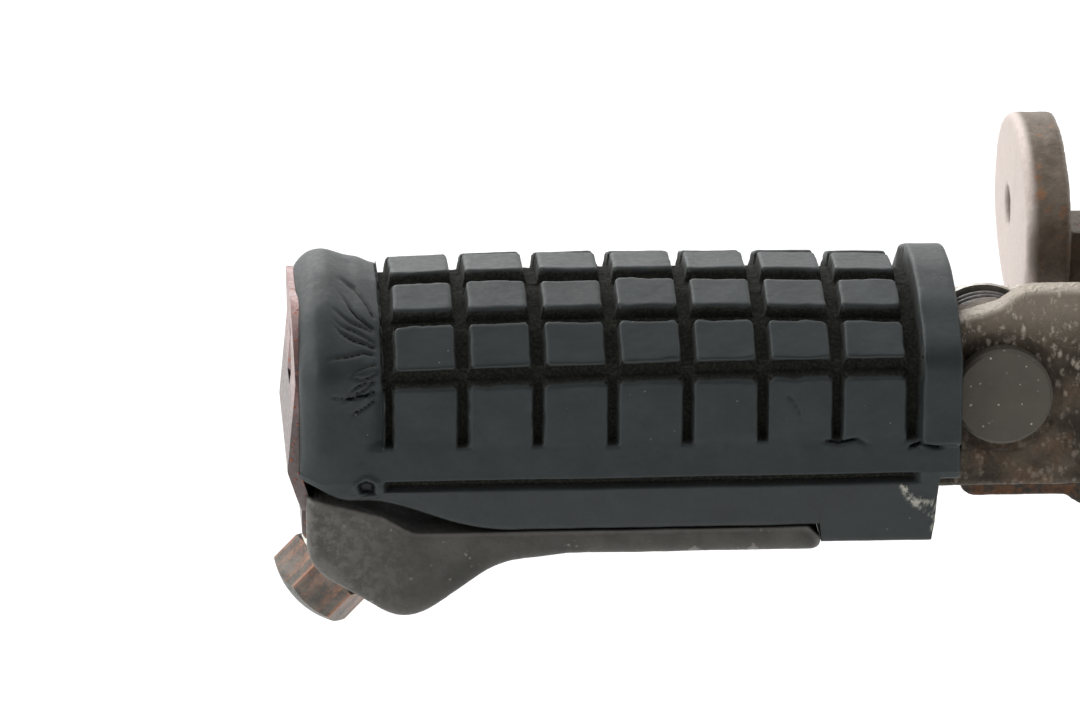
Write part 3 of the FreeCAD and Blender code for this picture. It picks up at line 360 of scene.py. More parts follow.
def cavity(x):
    """Inner outline, from the far foot round to the near foot: the room for bar and ears."""
    foot = lip_foot(x)
    floor = np.maximum(BAR_FLOOR, foot)
    bar = [(SLOT_HALF, foot), (SLOT_HALF, floor), (15.15, floor), (15.15, 1.15), (9.15, 8.15)]
    ears = [(SLOT_HALF, foot), (SLOT_HALF, EAR_FLOOR), (16.2, EAR_FLOOR), (16.2, 8.2), (9.15, 8.2)]
    wall = 19.2
    mouth = [(wall, foot), (wall, foot + 0.5), (wall, foot + 1.0), (wall, 8.4), (16.4, 11.9)]
    at_ears = ease(-17.3, -17.1, x)
    at_mouth = ease(RING_EDGE - 0.05, RING_EDGE + 0.15, x)
    far = []
    for (y0, z0), (y1, z1), (y2, z2) in zip(bar, ears, mouth):
        y = (y0 + (y1 - y0) * at_ears) * (1 - at_mouth) + y2 * at_mouth
        z = (z0 + (z1 - z0) * at_ears) * (1 - at_mouth) + z2 * at_mouth
        far.append((y, z * np.ones_like(x)))
    return far + [(-y, z) for y, z in reversed(far)]


def edge_distance(value, spans):
    """Distance to the nearest span, negative inside one."""
    return np.min([np.abs(value - (low + high) / 2) - (high - low) / 2 for low, high in spans],
                  axis=0)


def moulded(distance, depth, wall, edge):
    """Height near a block's edge: its face, a rounded edge, a steep wall and a groove's floor."""
    inside = np.clip(distance, 0.0, edge)
    rounded = edge - np.sqrt(np.maximum(edge ** 2 - (edge - inside) ** 2, 0.0))
    fall = np.clip(-distance / wall, 0.0, 1.0)
    fall = fall * fall * (3 - 2 * fall)
    return -rounded - (depth - edge) * fall


def line_distance(x, z, path):
    """Distance from each point to an open line in the side view, and the share along it."""
    best, share = np.full(x.shape, 1e9), np.zeros(x.shape)
    count = len(path) - 1
    for number, ((x0, z0), (x1, z1)) in enumerate(zip(path, path[1:])):
        dx, dz = x1 - x0, z1 - z0
        t = np.clip(((x - x0) * dx + (z - z0) * dz) / (dx * dx + dz * dz), 0, 1)
        away = np.hypot(x - x0 - t * dx, z - z0 - t * dz)
        share = np.where(away < best, (number + t) / count, share)
        best = np.minimum(best, away)
    return best, share


def collar_profile(x):
    """Rise of the collar above the blocks: a soft ridge near its outboard edge."""
    along = x - PAD_END
    ridge = 1.35 * np.exp(-((along - 4.2) / 3.3) ** 2)
    end = 3.0 - np.sqrt(np.maximum(9.0 - np.clip(3.0 - along, 0, 3.0) ** 2, 0.0))
    return ridge - end * 0.9


def crack_lines():
    """Cracks and tears seen on the near side: (path, half width, depth)."""
    lines = []
    random = np.random.default_rng(SEED + 90)
    fan_edge = PAD_END + COLLAR_LENGTH - 0.6
    for top in np.linspace(13.2, 2.5, 13):
        # upper cracks climb away from the groove's edge and lower ones fall
        turn = 5.0 * (top - 8.0) + random.uniform(-14, 14)
        path = [(fan_edge, top + random.uniform(-0.4, 0.4))]
        for _ in range(4):
            turn += random.uniform(-24, 24)
            reach = random.uniform(0.8, 2.5)
            path.append((path[-1][0] - reach * math.cos(math.radians(turn)),
                         path[-1][1] + reach * math.sin(math.radians(turn))))
        lines.append((path, 0.16, random.uniform(0.3, 0.55)))
    groove_root = 7.6
    start = FIRST_BLOCK + 3 * BLOCK_PITCH
    wander = [(x, groove_root + random.uniform(-0.35, 0.35))
              for x in np.linspace(start, RING_EDGE, 26)]
    lines.append((wander, 0.2, 0.7))
    right_block = FIRST_BLOCK + 6 * BLOCK_PITCH
    lines.append(([(right_block - 3.5, -5.2), (right_block - 1.0, -5.7), (right_block + 1.8, -5.1),
                   (right_block + 4.0, -6.1)], 0.2, 0.8))
    lines.append(([(RING_EDGE - 2.2, -6.6), (RING_EDGE, -5.9), (RING_EDGE + 2.4, -6.4),
                   (PAD_START, -5.8)], 0.22, 1.2))
    lines.append(([(right_block - 9.0, 2.4), (right_block - 7.5, 0.6), (right_block - 6.4, -2.8)],
                  0.14, 0.3))
    return lines


def residue_lines():
    """Dried pale flakes on the near side's lip, below the last block."""
    first = RING_EDGE + 1.0
    return [
        [(first - 3.6, -12.6), (first - 2.2, -15.2), (first - 0.6, -16.7), (first + 1.5, -17.9),
         (first + 1.2, -19.6)],
        [(first - 1.4, -15.6), (first + 0.6, -15.4), (first + 1.6, -16.6)],
    ]


def block_relief(x, s, z, spans):
    """Blocks and the grooves between them, with the distance inside a block's edge."""
    side_part = ease(SLOT_FOOT + 9.0, SLOT_FOOT + 10.5, z)
    wander = 0.10 * field(x, s, 2.3, 1) + 0.05 * field(x, s, 0.9, 2)
    slim = 0.38 * (1 - side_part)
    across = edge_distance(x, block_grooves()) + slim + wander
    slots = z < SLOT_FOOT + 8.0
    slot_end = np.where(slots, z - SLOT_FOOT - 0.2 * field(x, s, 6.0, 3), FAR)
    across = np.where(slots, np.maximum(across, -slot_end), across)
    on_blocks = (x > PAD_END + COLLAR_LENGTH) & (x < RING_EDGE)
    down = np.where(on_blocks, edge_distance(s, spans) + wander, FAR)

    corner = 0.75
    both = (across < corner) & (down < corner)
    rounded = corner - np.hypot(corner - across, corner - down)
    distance = np.where(both & (across > 0) & (down > 0), rounded, np.minimum(across, down))

    wear = 0.5 + 0.5 * field(x, s, 4.0, 4)
    edge = 0.28 + 0.30 * wear
    depth = GROOVE_DEPTH + 0.10 * rough_field(x, s, 1.6, 5)
    height = moulded(distance, depth, 0.34, edge)
    floor = ease(0.0, -0.35, distance)
    height += floor * (0.06 * rough_field(x, s, 0.9, 6) + 0.05 * rough_field(x, s, 0.45, 8))
    height += np.where(on_blocks, block_lean(x, s, z, spans) * (1 - floor), 0.0)
    return height, distance, floor, on_blocks


def block_lean(x, s, z, spans):
    """Small lift and lean of each block's face, different from block to block."""
    column = np.floor((x - FIRST_BLOCK) / BLOCK_PITCH).astype(int)
    row = np.searchsorted(np.sort([sum(span) / 2 for span in spans]), s)
    random = np.random.default_rng(SEED + 30)
    tilt = random.uniform(-1.0, 1.0, (BLOCK_COUNT + 2, len(spans) + 2, 3))
    column = np.clip(column, -1, BLOCK_COUNT) + 1
    own = tilt[column, row]
    across_block = (x - FIRST_BLOCK) / BLOCK_PITCH - (column - 1) - 0.4
    lean = 0.10 * own[..., 0] + 0.22 * own[..., 1] * across_block
    return lean * ease(SLOT_FOOT - 0.5, SLOT_FOOT + 1.5, z)


def end_relief(x, z):
    """Collar at the outboard end and ring at the inboard end."""
    collar = collar_profile(x) * (0.35 + 0.65 * ease(-11.5, -5.0, z))
    above_slots = ease(SLOT_FOOT - 0.5, SLOT_FOOT + 1.0, z)
    collar -= 0.9 * ease(COLLAR_LENGTH - 3.2, COLLAR_LENGTH, x - PAD_END) * above_slots
    height = np.where(x <= PAD_END + COLLAR_LENGTH, collar, 0.0)
    rise = ease(*RING_FOOT, z)
    ring_end = moulded(PAD_START - x, 0.9, 0.3, 0.7)
    ring_side = moulded(x - RING_EDGE + 0.05, 0.9, 0.3, 0.7) * rise
    return height + np.where(x >= RING_EDGE, 1.35 * rise + np.minimum(ring_end, ring_side), 0.0)


def lip_relief(x, z):
    """The lip's rounded foot and the undercut over it, with the undercut's own map."""
    middle = (WALL_FOOT + LIP_TOP) / 2
    reach = (WALL_FOOT - LIP_TOP) / 2
    span = ease(-94.6, -93.4, x) * ease(-12.4, -14.2, x)
    undercut = ease(reach + 0.05, reach - 0.3, np.abs(z - middle)) * span
    undercut = np.where(z < BELOW_SLOTS, undercut, 0.0)
    radius = 0.7
    inside = np.clip(radius - (z - lip_foot(x)), 0.0, radius)
    rounded = radius - np.sqrt(np.maximum(radius ** 2 - inside ** 2, 0.0))
    return -1.5 * undercut - np.where(z < BELOW_SLOTS, rounded, 0.0), undercut


def wear_relief(x, s, y, z):
    """Cracks, one torn spot and dried residue on the near side, with their maps."""
    near = y < 0
    height = np.zeros_like(x)
    crack = np.zeros_like(x)
    for path, width, deep in crack_lines():
        away, share = line_distance(x, z, path)
        taper = ease(0.0, 0.15, share) * ease(1.0, 0.55, share)
        line = np.exp(-(away / width) ** 2) * taper * near
        height -= deep * line
        crack = np.maximum(crack, line)
    tear_x, tear_z = PAD_END + 10.2, -11.6
    away = np.hypot((x - tear_x) / 1.25, z - tear_z) + 0.45 * field(x, s, 0.9, 12)
    tear = ease(1.35, 0.6, away) * near * (z > lip_foot(x) + 0.2)
    rim = np.exp(-((away - 1.6) / 0.35) ** 2) * near
    height += 0.25 * rim - 1.0 * tear

    residue = np.zeros_like(x)
    for path in residue_lines():
        away, _ = line_distance(x, z, path)
        ragged = away + 0.45 * field(x, s, 0.7, 13)
        residue = np.maximum(residue, ease(0.5, 0.1, ragged) * near)
    return height + 0.15 * residue, np.maximum(crack, tear), residue


def pad_heights(x, s, y, z, spans):
    """Height of the outer surface over the plain section, with the maps its material uses."""
    height, distance, floor, on_blocks = block_relief(x, s, z, spans)
    height += end_relief(x, z)
    sag = 0.12 * field(x, s, 9.0, 9) + 0.05 * field(x, s, 3.0, 10)
    skin = 0.018 * rough_field(x, s, 0.8, 11)
    height += (sag + skin) * (1 - floor)
    lip_height, undercut = lip_relief(x, z)
    worn_height, crack, residue = wear_relief(x, s, y, z)
    maps = {
        "residue": residue,
        # groove: grooves and the undercut, coloured with dust and painted shade in rubber_look
        "groove": np.clip(ease(0.05, -0.06, distance) + undercut, 0, 1),
        # edge: block rims, painted paler in rubber_look as wear plus a painted highlight
        "edge": np.exp(-(np.clip(distance, 0, 5) / 0.45) ** 2) * (1 - floor) * on_blocks,
        # crack: cracks and the tear, painted near-black as painted shade in rubber_look
        "crack": crack,
        # lip: the lip face below the undercut, painted lighter as painted light in rubber_look
        "lip": np.where(z < BELOW_SLOTS, ease(LIP_TOP + 0.1, LIP_TOP - 0.1, z), 0.0),
    }
    return height + lip_height + worn_height, maps


def end_faces(outer, inner, outer_index, inner_index):
    """Triangles across an open end, from the skin to the cavity and from foot to foot."""
    gaps = np.linalg.norm(outer[:, None] - inner[None], axis=-1)
    nearest = gaps.argmin(axis=1)
    nearest[0] = 0
    nearest = np.maximum.accumulate(nearest)
    nearest[-1] = len(inner) - 1
    faces = []
    for step in range(len(outer) - 1):
        held = nearest[step]
        faces.append([outer_index[step], outer_index[step + 1], inner_index[held]])
        for passed in range(held, nearest[step + 1]):
            faces.append([outer_index[step + 1], inner_index[passed + 1], inner_index[passed]])
    return faces


def pad_skin(x):
    """Grid of points on the outer skin, one row per station, with the maps of its material."""
    far, near = half_section(x, 1.0), half_section(x, -1.0)
    corners = near + far[::-1]
    fractions = steps_between([(y[len(x) // 2:], z[len(x) // 2:]) for y, z in corners])
    columns_y, columns_z = [], []
    for (y0, z0), (y1, z1), shares in zip(corners, corners[1:], fractions):
        for share in shares:
            columns_y.append(y0 + (y1 - y0) * share)
            columns_z.append(z0 + (z1 - z0) * share)
    columns_y.append(corners[-1][0])
    columns_z.append(corners[-1][1])
    y, z = np.array(columns_y).T, np.array(columns_z).T

    plain = x[:, None] * np.ones_like(y)
    soften = ((z > WALL_FOOT + 1.0) * 1.0)[:, 1:-1]
    on_collar = ease(FIRST_BLOCK, FIRST_BLOCK - 6.0, plain) + ease(RING_EDGE, RING_EDGE + 1, plain)
    strength = soften * (0.08 + 0.92 * np.clip(on_collar[:, 1:-1], 0, 1))
    starts = np.cumsum([0] + [len(f) for f in fractions])
    middle_row = len(x) // 2
    gaps = np.hypot(np.diff(y[middle_row]), np.diff(z[middle_row]))
    s_line = np.concatenate([[0.0], np.cumsum(gaps)])
    s = s_line[None, :] * np.ones_like(y)
    groove_steps = [LIP_CORNERS + n for n in ROW_GROOVES]
    count = len(corners) - 1
    groove_steps += [count - 1 - n for n in groove_steps]
    spans = [(s_line[starts[n]], s_line[starts[n + 1]]) for n in groove_steps]
    for _ in range(SMOOTHING_PASSES):
        for line in (y, z):
            line[:, 1:-1] += 0.5 * strength * ((line[:, 2:] + line[:, :-2]) / 2 - line[:, 1:-1])

    height, maps = pad_heights(plain, s, y, z, spans)
    along_y, along_z = np.gradient(y, axis=1), np.gradient(z, axis=1)
    length = np.hypot(along_y, along_z)
    out_y, out_z = -along_z / length, along_y / length
    return np.stack([plain, y + out_y * height, z + out_z * height], -1), maps


def make_pad():
    """Rubber pad: one closed tube whose outer skin carries the blocks, grooves and cracks."""
    x = pad_stations()
    outer, maps = pad_skin(x)
    inner = np.stack([np.stack([x, cy, cz], -1) for cy, cz in cavity(x)], 1)
    rings = np.concatenate([outer, inner], 1)
    rows, loop = rings.shape[:2]
    corner_index = np.arange(rows * loop).reshape(rows, loop)
    following = np.roll(corner_index, -1, axis=1)
    quads = np.stack([corner_index[:-1], corner_index[1:], following[1:], following[:-1]], -1)
    faces = quads.reshape(-1, 4).tolist()
    skin_count = outer.shape[1]
    for row, turn in ((0, 1), (-1, -1)):
        index = corner_index[row].tolist()
        end = end_faces(outer[row], inner[row][::-1], index[:skin_count],
                        index[skin_count:][::-1])
        faces += [face[::turn] for face in end]

    mesh = bpy.data.meshes.new("pad")
    mesh.from_pydata(to_row(rings.reshape(-1, 3)).tolist(), [], faces)
    mesh.validate()
    for name, values in maps.items():
        attribute = mesh.attributes.new(name, "FLOAT", "POINT")
        whole = np.zeros((rows, loop), np.float32)
        whole[:, :values.shape[1]] = values
        attribute.data.foreach_set("value", whole.ravel())
    mesh.shade_smooth()
    mesh.set_sharp_from_angle(angle=math.radians(60))
    mesh.materials.append(rubber_look())
    pad = bpy.data.objects.new("rubber_sleeve", mesh)
    bpy.context.scene.collection.objects.link(pad)
    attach(pad, "peg")
    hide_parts("rubber_pad")
    return pad


def rubber_look():
    """Aged dark rubber: grooves darkened with dust and painted shade, block edges paler with wear and a
    painted highlight, cracks darkened with painted shade, the lip face painted lighter as painted
    light, pale specks and dried residue.
    """
    look = Look("Aged_rubber", roughness=0.5, specular=0.5)
    blotch = look.noise(7.0, 4.0, 0.55)
    fine = look.noise(0.8, 5.0, 0.65)
    base = look.mix(look.between(blotch, 0.35, 0.7), (0.0070, 0.0130, 0.0132),
                    (0.0130, 0.0200, 0.0205))
    # block edges paler: part wear, part painted highlight
    base = look.mix(look.times(look.stored("edge"), look.between(fine, 0.35, 0.65, 0.05, 0.4)),
                    base, (0.026, 0.031, 0.030))
    # lip face lighter: painted light, as if the lip were lit
    base = look.mix(look.times(look.stored("lip"), 0.35), base, (0.022, 0.026, 0.025))
    # grooves and undercut: near-black painted shade mixed with olive dust
    groove_dust_and_shade = look.mix(look.between(look.noise(0.5, 4.0, 0.7), 0.42, 0.66), (0.0060, 0.0066, 0.0050),
                    (0.030, 0.029, 0.020))
    base = look.mix(look.stored("groove"), base, groove_dust_and_shade)
    # cracks and tear darkened: painted shade inside the fissures
    base = look.mix(look.times(look.stored("crack"), 0.9), base, (0.0025, 0.0025, 0.0025))
    specks = look.between(look.cells(2.6), 0.055, 0.03)
    chosen = look.between(look.noise(9.0, 1.0, 0.4), 0.52, 0.6)
    base = look.mix(look.times(look.times(specks, chosen), 0.55), base, (0.30, 0.29, 0.26))
    rough = look.between(fine, 0.3, 0.7, 0.45, 0.54)
    rough = look.math("ADD", rough, look.times(look.stored("groove"), 0.45))
    base = look.mix(look.times(look.stored("residue"), look.between(fine, 0.4, 0.55)), base,
                    (0.40, 0.39, 0.34))
    grain = look.noise(0.28, 3.0, 0.6)
    return look.finish(base, rough, [(fine, 0.022), (grain, 0.010)])


# ---------------------------------------------------------------- castings

def roughen(node, voxel, lump, lump_depth, pit, pit_depth):
    """Give a casting rounded edges and an uneven skin."""
    remesh = node.modifiers.new("Skin", "REMESH")
    remesh.mode = "VOXEL"
    remesh.voxel_size = voxel * MM
    remesh.use_smooth_shade = True
    smooth = node.modifiers.new("Round", "SMOOTH")
    smooth.factor = 0.5
    smooth.iterations = 3
    for label, size, depth in (("Lumps", lump, lump_depth), ("Pits", pit, pit_depth)):
        texture = bpy.data.textures.new(node.name + label, "CLOUDS")
        texture.noise_scale = size * MM
        texture.noise_depth = 2
        displace = node.modifiers.new(label, "DISPLACE")
        displace.texture = texture
        displace.texture_coords = "LOCAL"
        displace.strength = depth * MM
        displace.mid_level = 0.5


def soften_edges(name, width, segments=3):
    """Round the sharp edges of a machined or pressed node."""
    node = frame["nodes"][name]
    bevel = node.modifiers.new("Edges", "BEVEL")
    bevel.width = width * MM
    bevel.segments = segments
    bevel.limit_method = "ANGLE"
    bevel.angle_limit = math.radians(32)
    bevel.harden_normals = False
    weighted = node.modifiers.new("Normals", "WEIGHTED_NORMAL")
    weighted.keep_sharp = True


def rail_look():
    """Smooth dull cast metal with small pale specks, a painted highlight on its rounded edges and
    painted shade in its hollows.
    """
    look = Look("Rail_casting", roughness=0.5, metallic=0.35, specular=0.4)
    cloud = look.noise(9.0, 4.0, 0.6)
    fine = look.noise(0.6, 5.0, 0.7)
    base = look.mix(look.between(cloud, 0.3, 0.7), (0.050, 0.049, 0.044), (0.085, 0.083, 0.075))
    outboard = look.between(look.along(0), -118.0, -138.0)
    dusty = look.times(outboard, look.between(look.noise(1.8, 5.0, 0.7), 0.42, 0.6, 0.2, 0.8))
    base = look.mix(dusty, base, (0.150, 0.142, 0.128))
    # rounded edges paler: painted highlight
    base = look.mix(look.between(look.corner(), 0.51, 0.56, 0.0, 0.7), base, (0.22, 0.205, 0.19))
    # hollows darker: painted shade
    base = look.mix(look.between(look.corner(), 0.49, 0.44, 0.0, 0.8), base, (0.02, 0.018, 0.016))
    specks = look.between(look.cells(1.5, warp=(1.0, 0.7)), 0.24, 0.08)
    chosen = look.between(look.noise(3.0, 3.0, 0.6), 0.5, 0.62)
    base = look.mix(look.times(specks, look.times(chosen, 0.5)), base, (0.30, 0.28, 0.25))
    rough = look.between(fine, 0.3, 0.7, 0.42, 0.62)
    return look.finish(base, rough, [(fine, 0.07), (cloud, 0.35)])


def ear_look():
    """Brown-grey rough casting with pale raised grains; painted light makes it pale on top, a painted
    highlight pales its edges and painted shade darkens its corners.
    """
    look = Look("Ear_casting", roughness=0.6, metallic=0.3, specular=0.4)
    cloud = look.noise(6.0, 5.0, 0.65)
    fine = look.noise(0.7, 5.0, 0.75)
    base = look.mix(look.between(cloud, 0.32, 0.68), (0.026, 0.0175, 0.010), (0.095, 0.074, 0.052))
    # faces pointing up painted pale: painted light from above
    top = look.times(look.between(look.upward(), 0.25, 0.9), look.between(fine, 0.3, 0.55, 0.35, 1.0))
    base = look.mix(top, base, (0.85, 0.78, 0.70))
    # convex edges paler: painted highlight
    base = look.mix(look.between(look.corner(), 0.52, 0.57, 0.0, 0.65), base, (0.50, 0.45, 0.38))
    grains = look.between(look.cells(1.3, stretch=(1.3, 1.0, 0.75), warp=(1.2, 1.2)), 0.55, 0.20)
    scatter = look.between(look.noise(2.2, 4.0, 0.7), 0.42, 0.58)
    high = look.between(look.along(2), -6.0, 13.0, 0.25, 1.0)
    grains = look.times(look.times(grains, scatter), high)
    warm = look.between(look.noise(4.5, 4.0, 0.6), 0.5, 0.66, 0.0, 0.5)
    base = look.mix(warm, base, (0.12, 0.062, 0.030))
    # upper part lighter: painted light
    base = look.mix(look.times(look.between(look.along(2), 6.0, 15.0), 0.75), base,
                    (0.30, 0.255, 0.200))
    base = look.mix(look.times(grains, 0.85), base, (0.55, 0.48, 0.40))
    # corners darkened: painted shade
    base = look.mix(look.between(look.shelter(6.0), 0.75, 0.25, 0.0, 0.8), base,
                    (0.022, 0.015, 0.011))
    rough = look.between(fine, 0.3, 0.7, 0.45, 0.75)
    return look.finish(base, rough, [(cloud, 0.45), (fine, 0.22), (grains, 0.24)])


def bracket_look():
    """Weathered mottled casting: the lug's face is painted pale as a painted highlight, edges carry a
    painted highlight, hollows painted shade, and the tongue's foot under the ears a rust stain mixed
    with painted shade.
    """
    look = Look("Bracket_casting", roughness=0.55, metallic=0.3, specular=0.4)
    cloud = look.noise(8.0, 5.0, 0.65)
    blot = look.noise(2.4, 5.0, 0.7)
    fine = look.noise(0.6, 5.0, 0.75)
    mottled = look.math("ADD", look.times(blot, 0.45), look.times(cloud, 0.55))
    base = look.mix(look.between(mottled, 0.36, 0.64), (0.105, 0.078, 0.055),
                    (0.21, 0.170, 0.132))
    # lug face painted pale: painted highlight from the light on the left
    lug_face_highlight = look.between(look.along(0), -23.0, -24.4, 0.0, 0.85)
    lug_face_highlight = look.times(lug_face_highlight, look.between(look.along(1), 22.0, 26.0))
    base = look.mix(lug_face_highlight, base, (0.66, 0.57, 0.53))
    rust = look.times(look.between(look.noise(3.5, 5.0, 0.7), 0.56, 0.70), 0.6)
    rust = look.times(rust, look.math("SUBTRACT", 1.0, lug_face_highlight))
    base = look.mix(rust, base, (0.36, 0.15, 0.055))
    # convex edges paler: painted highlight
    base = look.mix(look.between(look.corner(), 0.515, 0.56, 0.0, 0.7), base, (0.42, 0.37, 0.32))
    # hollows darkened: painted shade
    base = look.mix(look.between(look.shelter(7.0), 0.7, 0.2, 0.0, 0.75), base,
                    (0.05, 0.03, 0.02))
    # under the ears: rust stain mixed with painted shade
    under = look.between(look.along(2), -13.0, -18.0)
    under = look.times(under, look.between(look.along(0), -11.0, -16.0))
    stain_and_shade = look.mix(look.between(blot, 0.4, 0.6), (0.11, 0.050, 0.022), (0.035, 0.032, 0.026))
    base = look.mix(look.times(under, look.between(look.along(1), 5.0, 3.0)), base, stain_and_shade)
    rough = look.between(fine, 0.3, 0.7, 0.42, 0.72)
    return look.finish(base, rough, [(cloud, 0.3), (blot, 0.15), (fine, 0.08)])


# ---------------------------------------------------------------- plate, pin and fasteners

def plate_look():
    """Thin pressed plate, pale and pinkish, with rust freckles along its edges, darker grey towards the
    bottom and painted shade in its hollows.
    """
    look = Look("Rusty_plate", roughness=0.38, metallic=0.75, specular=0.5)
    fine = look.noise(0.7, 5.0, 0.75)
    cloud = look.noise(5.0, 4.0, 0.6)
    base = look.mix(look.between(cloud, 0.35, 0.65), (0.24, 0.155, 0.148), (0.34, 0.245, 0.235))
    # darker grey towards the bottom
    base = look.mix(look.between(look.along(2), 3.0, -3.0, 0.0, 0.8), base, (0.13, 0.12, 0.115))
    freckles = look.between(look.cells(0.9, warp=(1.2, 0.8)), 0.34, 0.14)
    where = look.between(look.math("ADD", look.times(look.corner(), 2.0), look.times(cloud, 0.5)),
                         1.22, 1.36)
    base = look.mix(look.times(freckles, where), base, (0.32, 0.10, 0.055))
    thin = look.between(look.noise(1.4, 5.0, 0.8), 0.60, 0.70, 0.0, 0.7)
    base = look.mix(thin, base, (0.45, 0.20, 0.13))
    # hollows darkened: painted shade
    base = look.mix(look.between(look.shelter(3.0), 0.6, 0.2, 0.0, 0.7), base,
                    (0.10, 0.06, 0.045))
    rough = look.between(fine, 0.3, 0.7, 0.28, 0.55)
    metal = look.between(freckles, 0.2, 0.8, 0.8, 0.1)
    return look.finish(base, rough, [(fine, 0.04), (freckles, 0.05)], metal)


def pin_look():
    """Dark browned steel with a painted highlight on its rim and a few pale specks."""
    look = Look("Browned_pin", roughness=0.5, metallic=0.1, specular=0.25)
    cloud = look.noise(4.0, 5.0, 0.6)
    fine = look.noise(0.5, 5.0, 0.7)
    base = look.mix(look.between(cloud, 0.3, 0.7), (0.0085, 0.0068, 0.0038), (0.0330, 0.0270, 0.0170))
    # rim paler: painted highlight
    base = look.mix(look.between(look.corner(), 0.51, 0.56, 0.0, 0.6), base, (0.14, 0.125, 0.105))
    specks = look.between(look.cells(1.3), 0.17, 0.08)
    chosen = look.between(look.noise(3.0, 2.0, 0.5), 0.48, 0.58)
    base = look.mix(look.times(specks, look.times(chosen, 0.8)), base, (0.55, 0.48, 0.42))
    scratches = look.between(look.noise(0.35, 3.0, 0.6, stretch=(0.12, 1.0, 1.0)), 0.60, 0.72)
    base = look.mix(look.times(scratches, 0.10), base, (0.12, 0.10, 0.085))
    rough = look.between(fine, 0.3, 0.7, 0.36, 0.58)
    return look.finish(base, rough, [(fine, 0.05), (cloud, 0.25)])


def feeler_look():
    """Worn zinc turning pinkish-beige, with orange along its rims that is part rust and part painted
    highlight.
    """
    look = Look("Worn_feeler", roughness=0.42, metallic=0.6, specular=0.5)
    cloud = look.noise(3.0, 5.0, 0.65)
    fine = look.noise(0.5, 5.0, 0.75)
    base = look.mix(look.between(cloud, 0.35, 0.65), (0.085, 0.085, 0.078), (0.17, 0.16, 0.142))
    # orange rims: part rust, part painted highlight where the rims catch light
    rust = look.between(look.math("ADD", look.times(look.corner(), 2.7), look.times(fine, 0.25)),
                        1.62, 1.78)
    base = look.mix(look.times(rust, 0.85), base, (0.50, 0.24, 0.15))
    base = look.mix(look.between(look.noise(1.6, 5.0, 0.8), 0.64, 0.72, 0.0, 0.15), base,
                    (0.17, 0.085, 0.055))
    rough = look.between(fine, 0.3, 0.7, 0.32, 0.6)
    return look.finish(base, rough, [(fine, 0.06), (cloud, 0.15)])


def zinc_look():
    """Dull plated steel with painted shade in its hollows and a few orange rust spots."""
    look = Look("Dull_zinc", roughness=0.4, metallic=0.85, specular=0.5)
    cloud = look.noise(2.5, 5.0, 0.6)
    fine = look.noise(0.4, 5.0, 0.7)
    base = look.mix(look.between(cloud, 0.35, 0.65), (0.40, 0.38, 0.34), (0.62, 0.60, 0.55))
    # hollows darkened: painted shade
    base = look.mix(look.between(look.shelter(2.5), 0.75, 0.25, 0.0, 0.5), base,
                    (0.04, 0.03, 0.02))
    base = look.mix(look.between(look.noise(1.2, 5.0, 0.8), 0.62, 0.70, 0.0, 0.6), base,
                    (0.34, 0.15, 0.06))
    rough = look.between(fine, 0.3, 0.7, 0.3, 0.55)
    return look.finish(base, rough, [(fine, 0.03), (cloud, 0.06)])


def wire_look():
    """Dark drawn spring wire with fine lengthwise marks."""
    look = Look("Spring_wire", roughness=0.35, metallic=0.8, specular=0.5)
    fine = look.noise(0.3, 4.0, 0.7)
    blot = look.noise(1.5, 4.0, 0.6)
    base = look.mix(look.between(blot, 0.35, 0.65), (0.055, 0.05, 0.048), (0.11, 0.10, 0.095))
    base = look.mix(look.between(blot, 0.6, 0.72, 0.0, 0.5), base, (0.28, 0.12, 0.05))
    return look.finish(base, look.between(fine, 0.3, 0.7, 0.28, 0.5), [(fine, 0.02)])


def bronze_look():
    """Oily sintered bronze, darkened in its pores."""
    look = Look("Sintered_bronze", roughness=0.45, metallic=0.85, specular=0.5)
    pores = look.cells(0.25)
    blot = look.noise(2.0, 4.0, 0.6)
    base = look.mix(look.between(blot, 0.35, 0.65), (0.40, 0.25, 0.09), (0.58, 0.40, 0.18))
    base = look.mix(look.between(pores, 0.25, 0.1, 0.0, 0.6), base, (0.08, 0.05, 0.02))
    return look.finish(base, look.between(blot, 0.3, 0.7, 0.35, 0.55), [(pores, 0.02)])


# ---------------------------------------------------------------- bracket

def make_bracket():
    """The bracket's flange, tongue and lug arm joined into one casting with filleted corners."""
    sources = ["hinge_bracket", "hinge_tongue", "lug_arm"]
    points, faces = [], []
    for name in sources:
        data = frame["nodes"][name].data
        faces += [[v + len(points) for v in face.vertices] for face in data.polygons]
        points += [vertex.co[:] for vertex in data.vertices]
    mesh = bpy.data.meshes.new("bracket")
    mesh.from_pydata(points, [], faces)
    mesh.materials.append(bracket_look())
    bracket = bpy.data.objects.new("bracket_casting", mesh)
    bpy.context.scene.collection.objects.link(bracket)
    roughen(bracket, voxel=0.5, lump=7.0, lump_depth=0.25, pit=1.1, pit_depth=0.12)
    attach(bracket, "bracket")
    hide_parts(*sources)
    return bracket


# ---------------------------------------------------------------- the object

make_pad()
make_bracket()
paint("skid_rail", rail_look())
roughen(frame["nodes"]["skid_rail"], voxel=0.45, lump=8.0, lump_depth=0.25, pit=0.9, pit_depth=0.05)
paint("peg_core", ear_look())
roughen(frame["nodes"]["peg_core"], voxel=0.5, lump=6.0, lump_depth=0.25, pit=1.0, pit_depth=0.16)

paint("end_plate", plate_look())
soften_edges("end_plate", 0.45)
paint("clevis_pin", pin_look())
soften_edges("clevis_pin", 0.5)
paint("feeler_bolt", feeler_look())
soften_edges("feeler_bolt", 0.4)

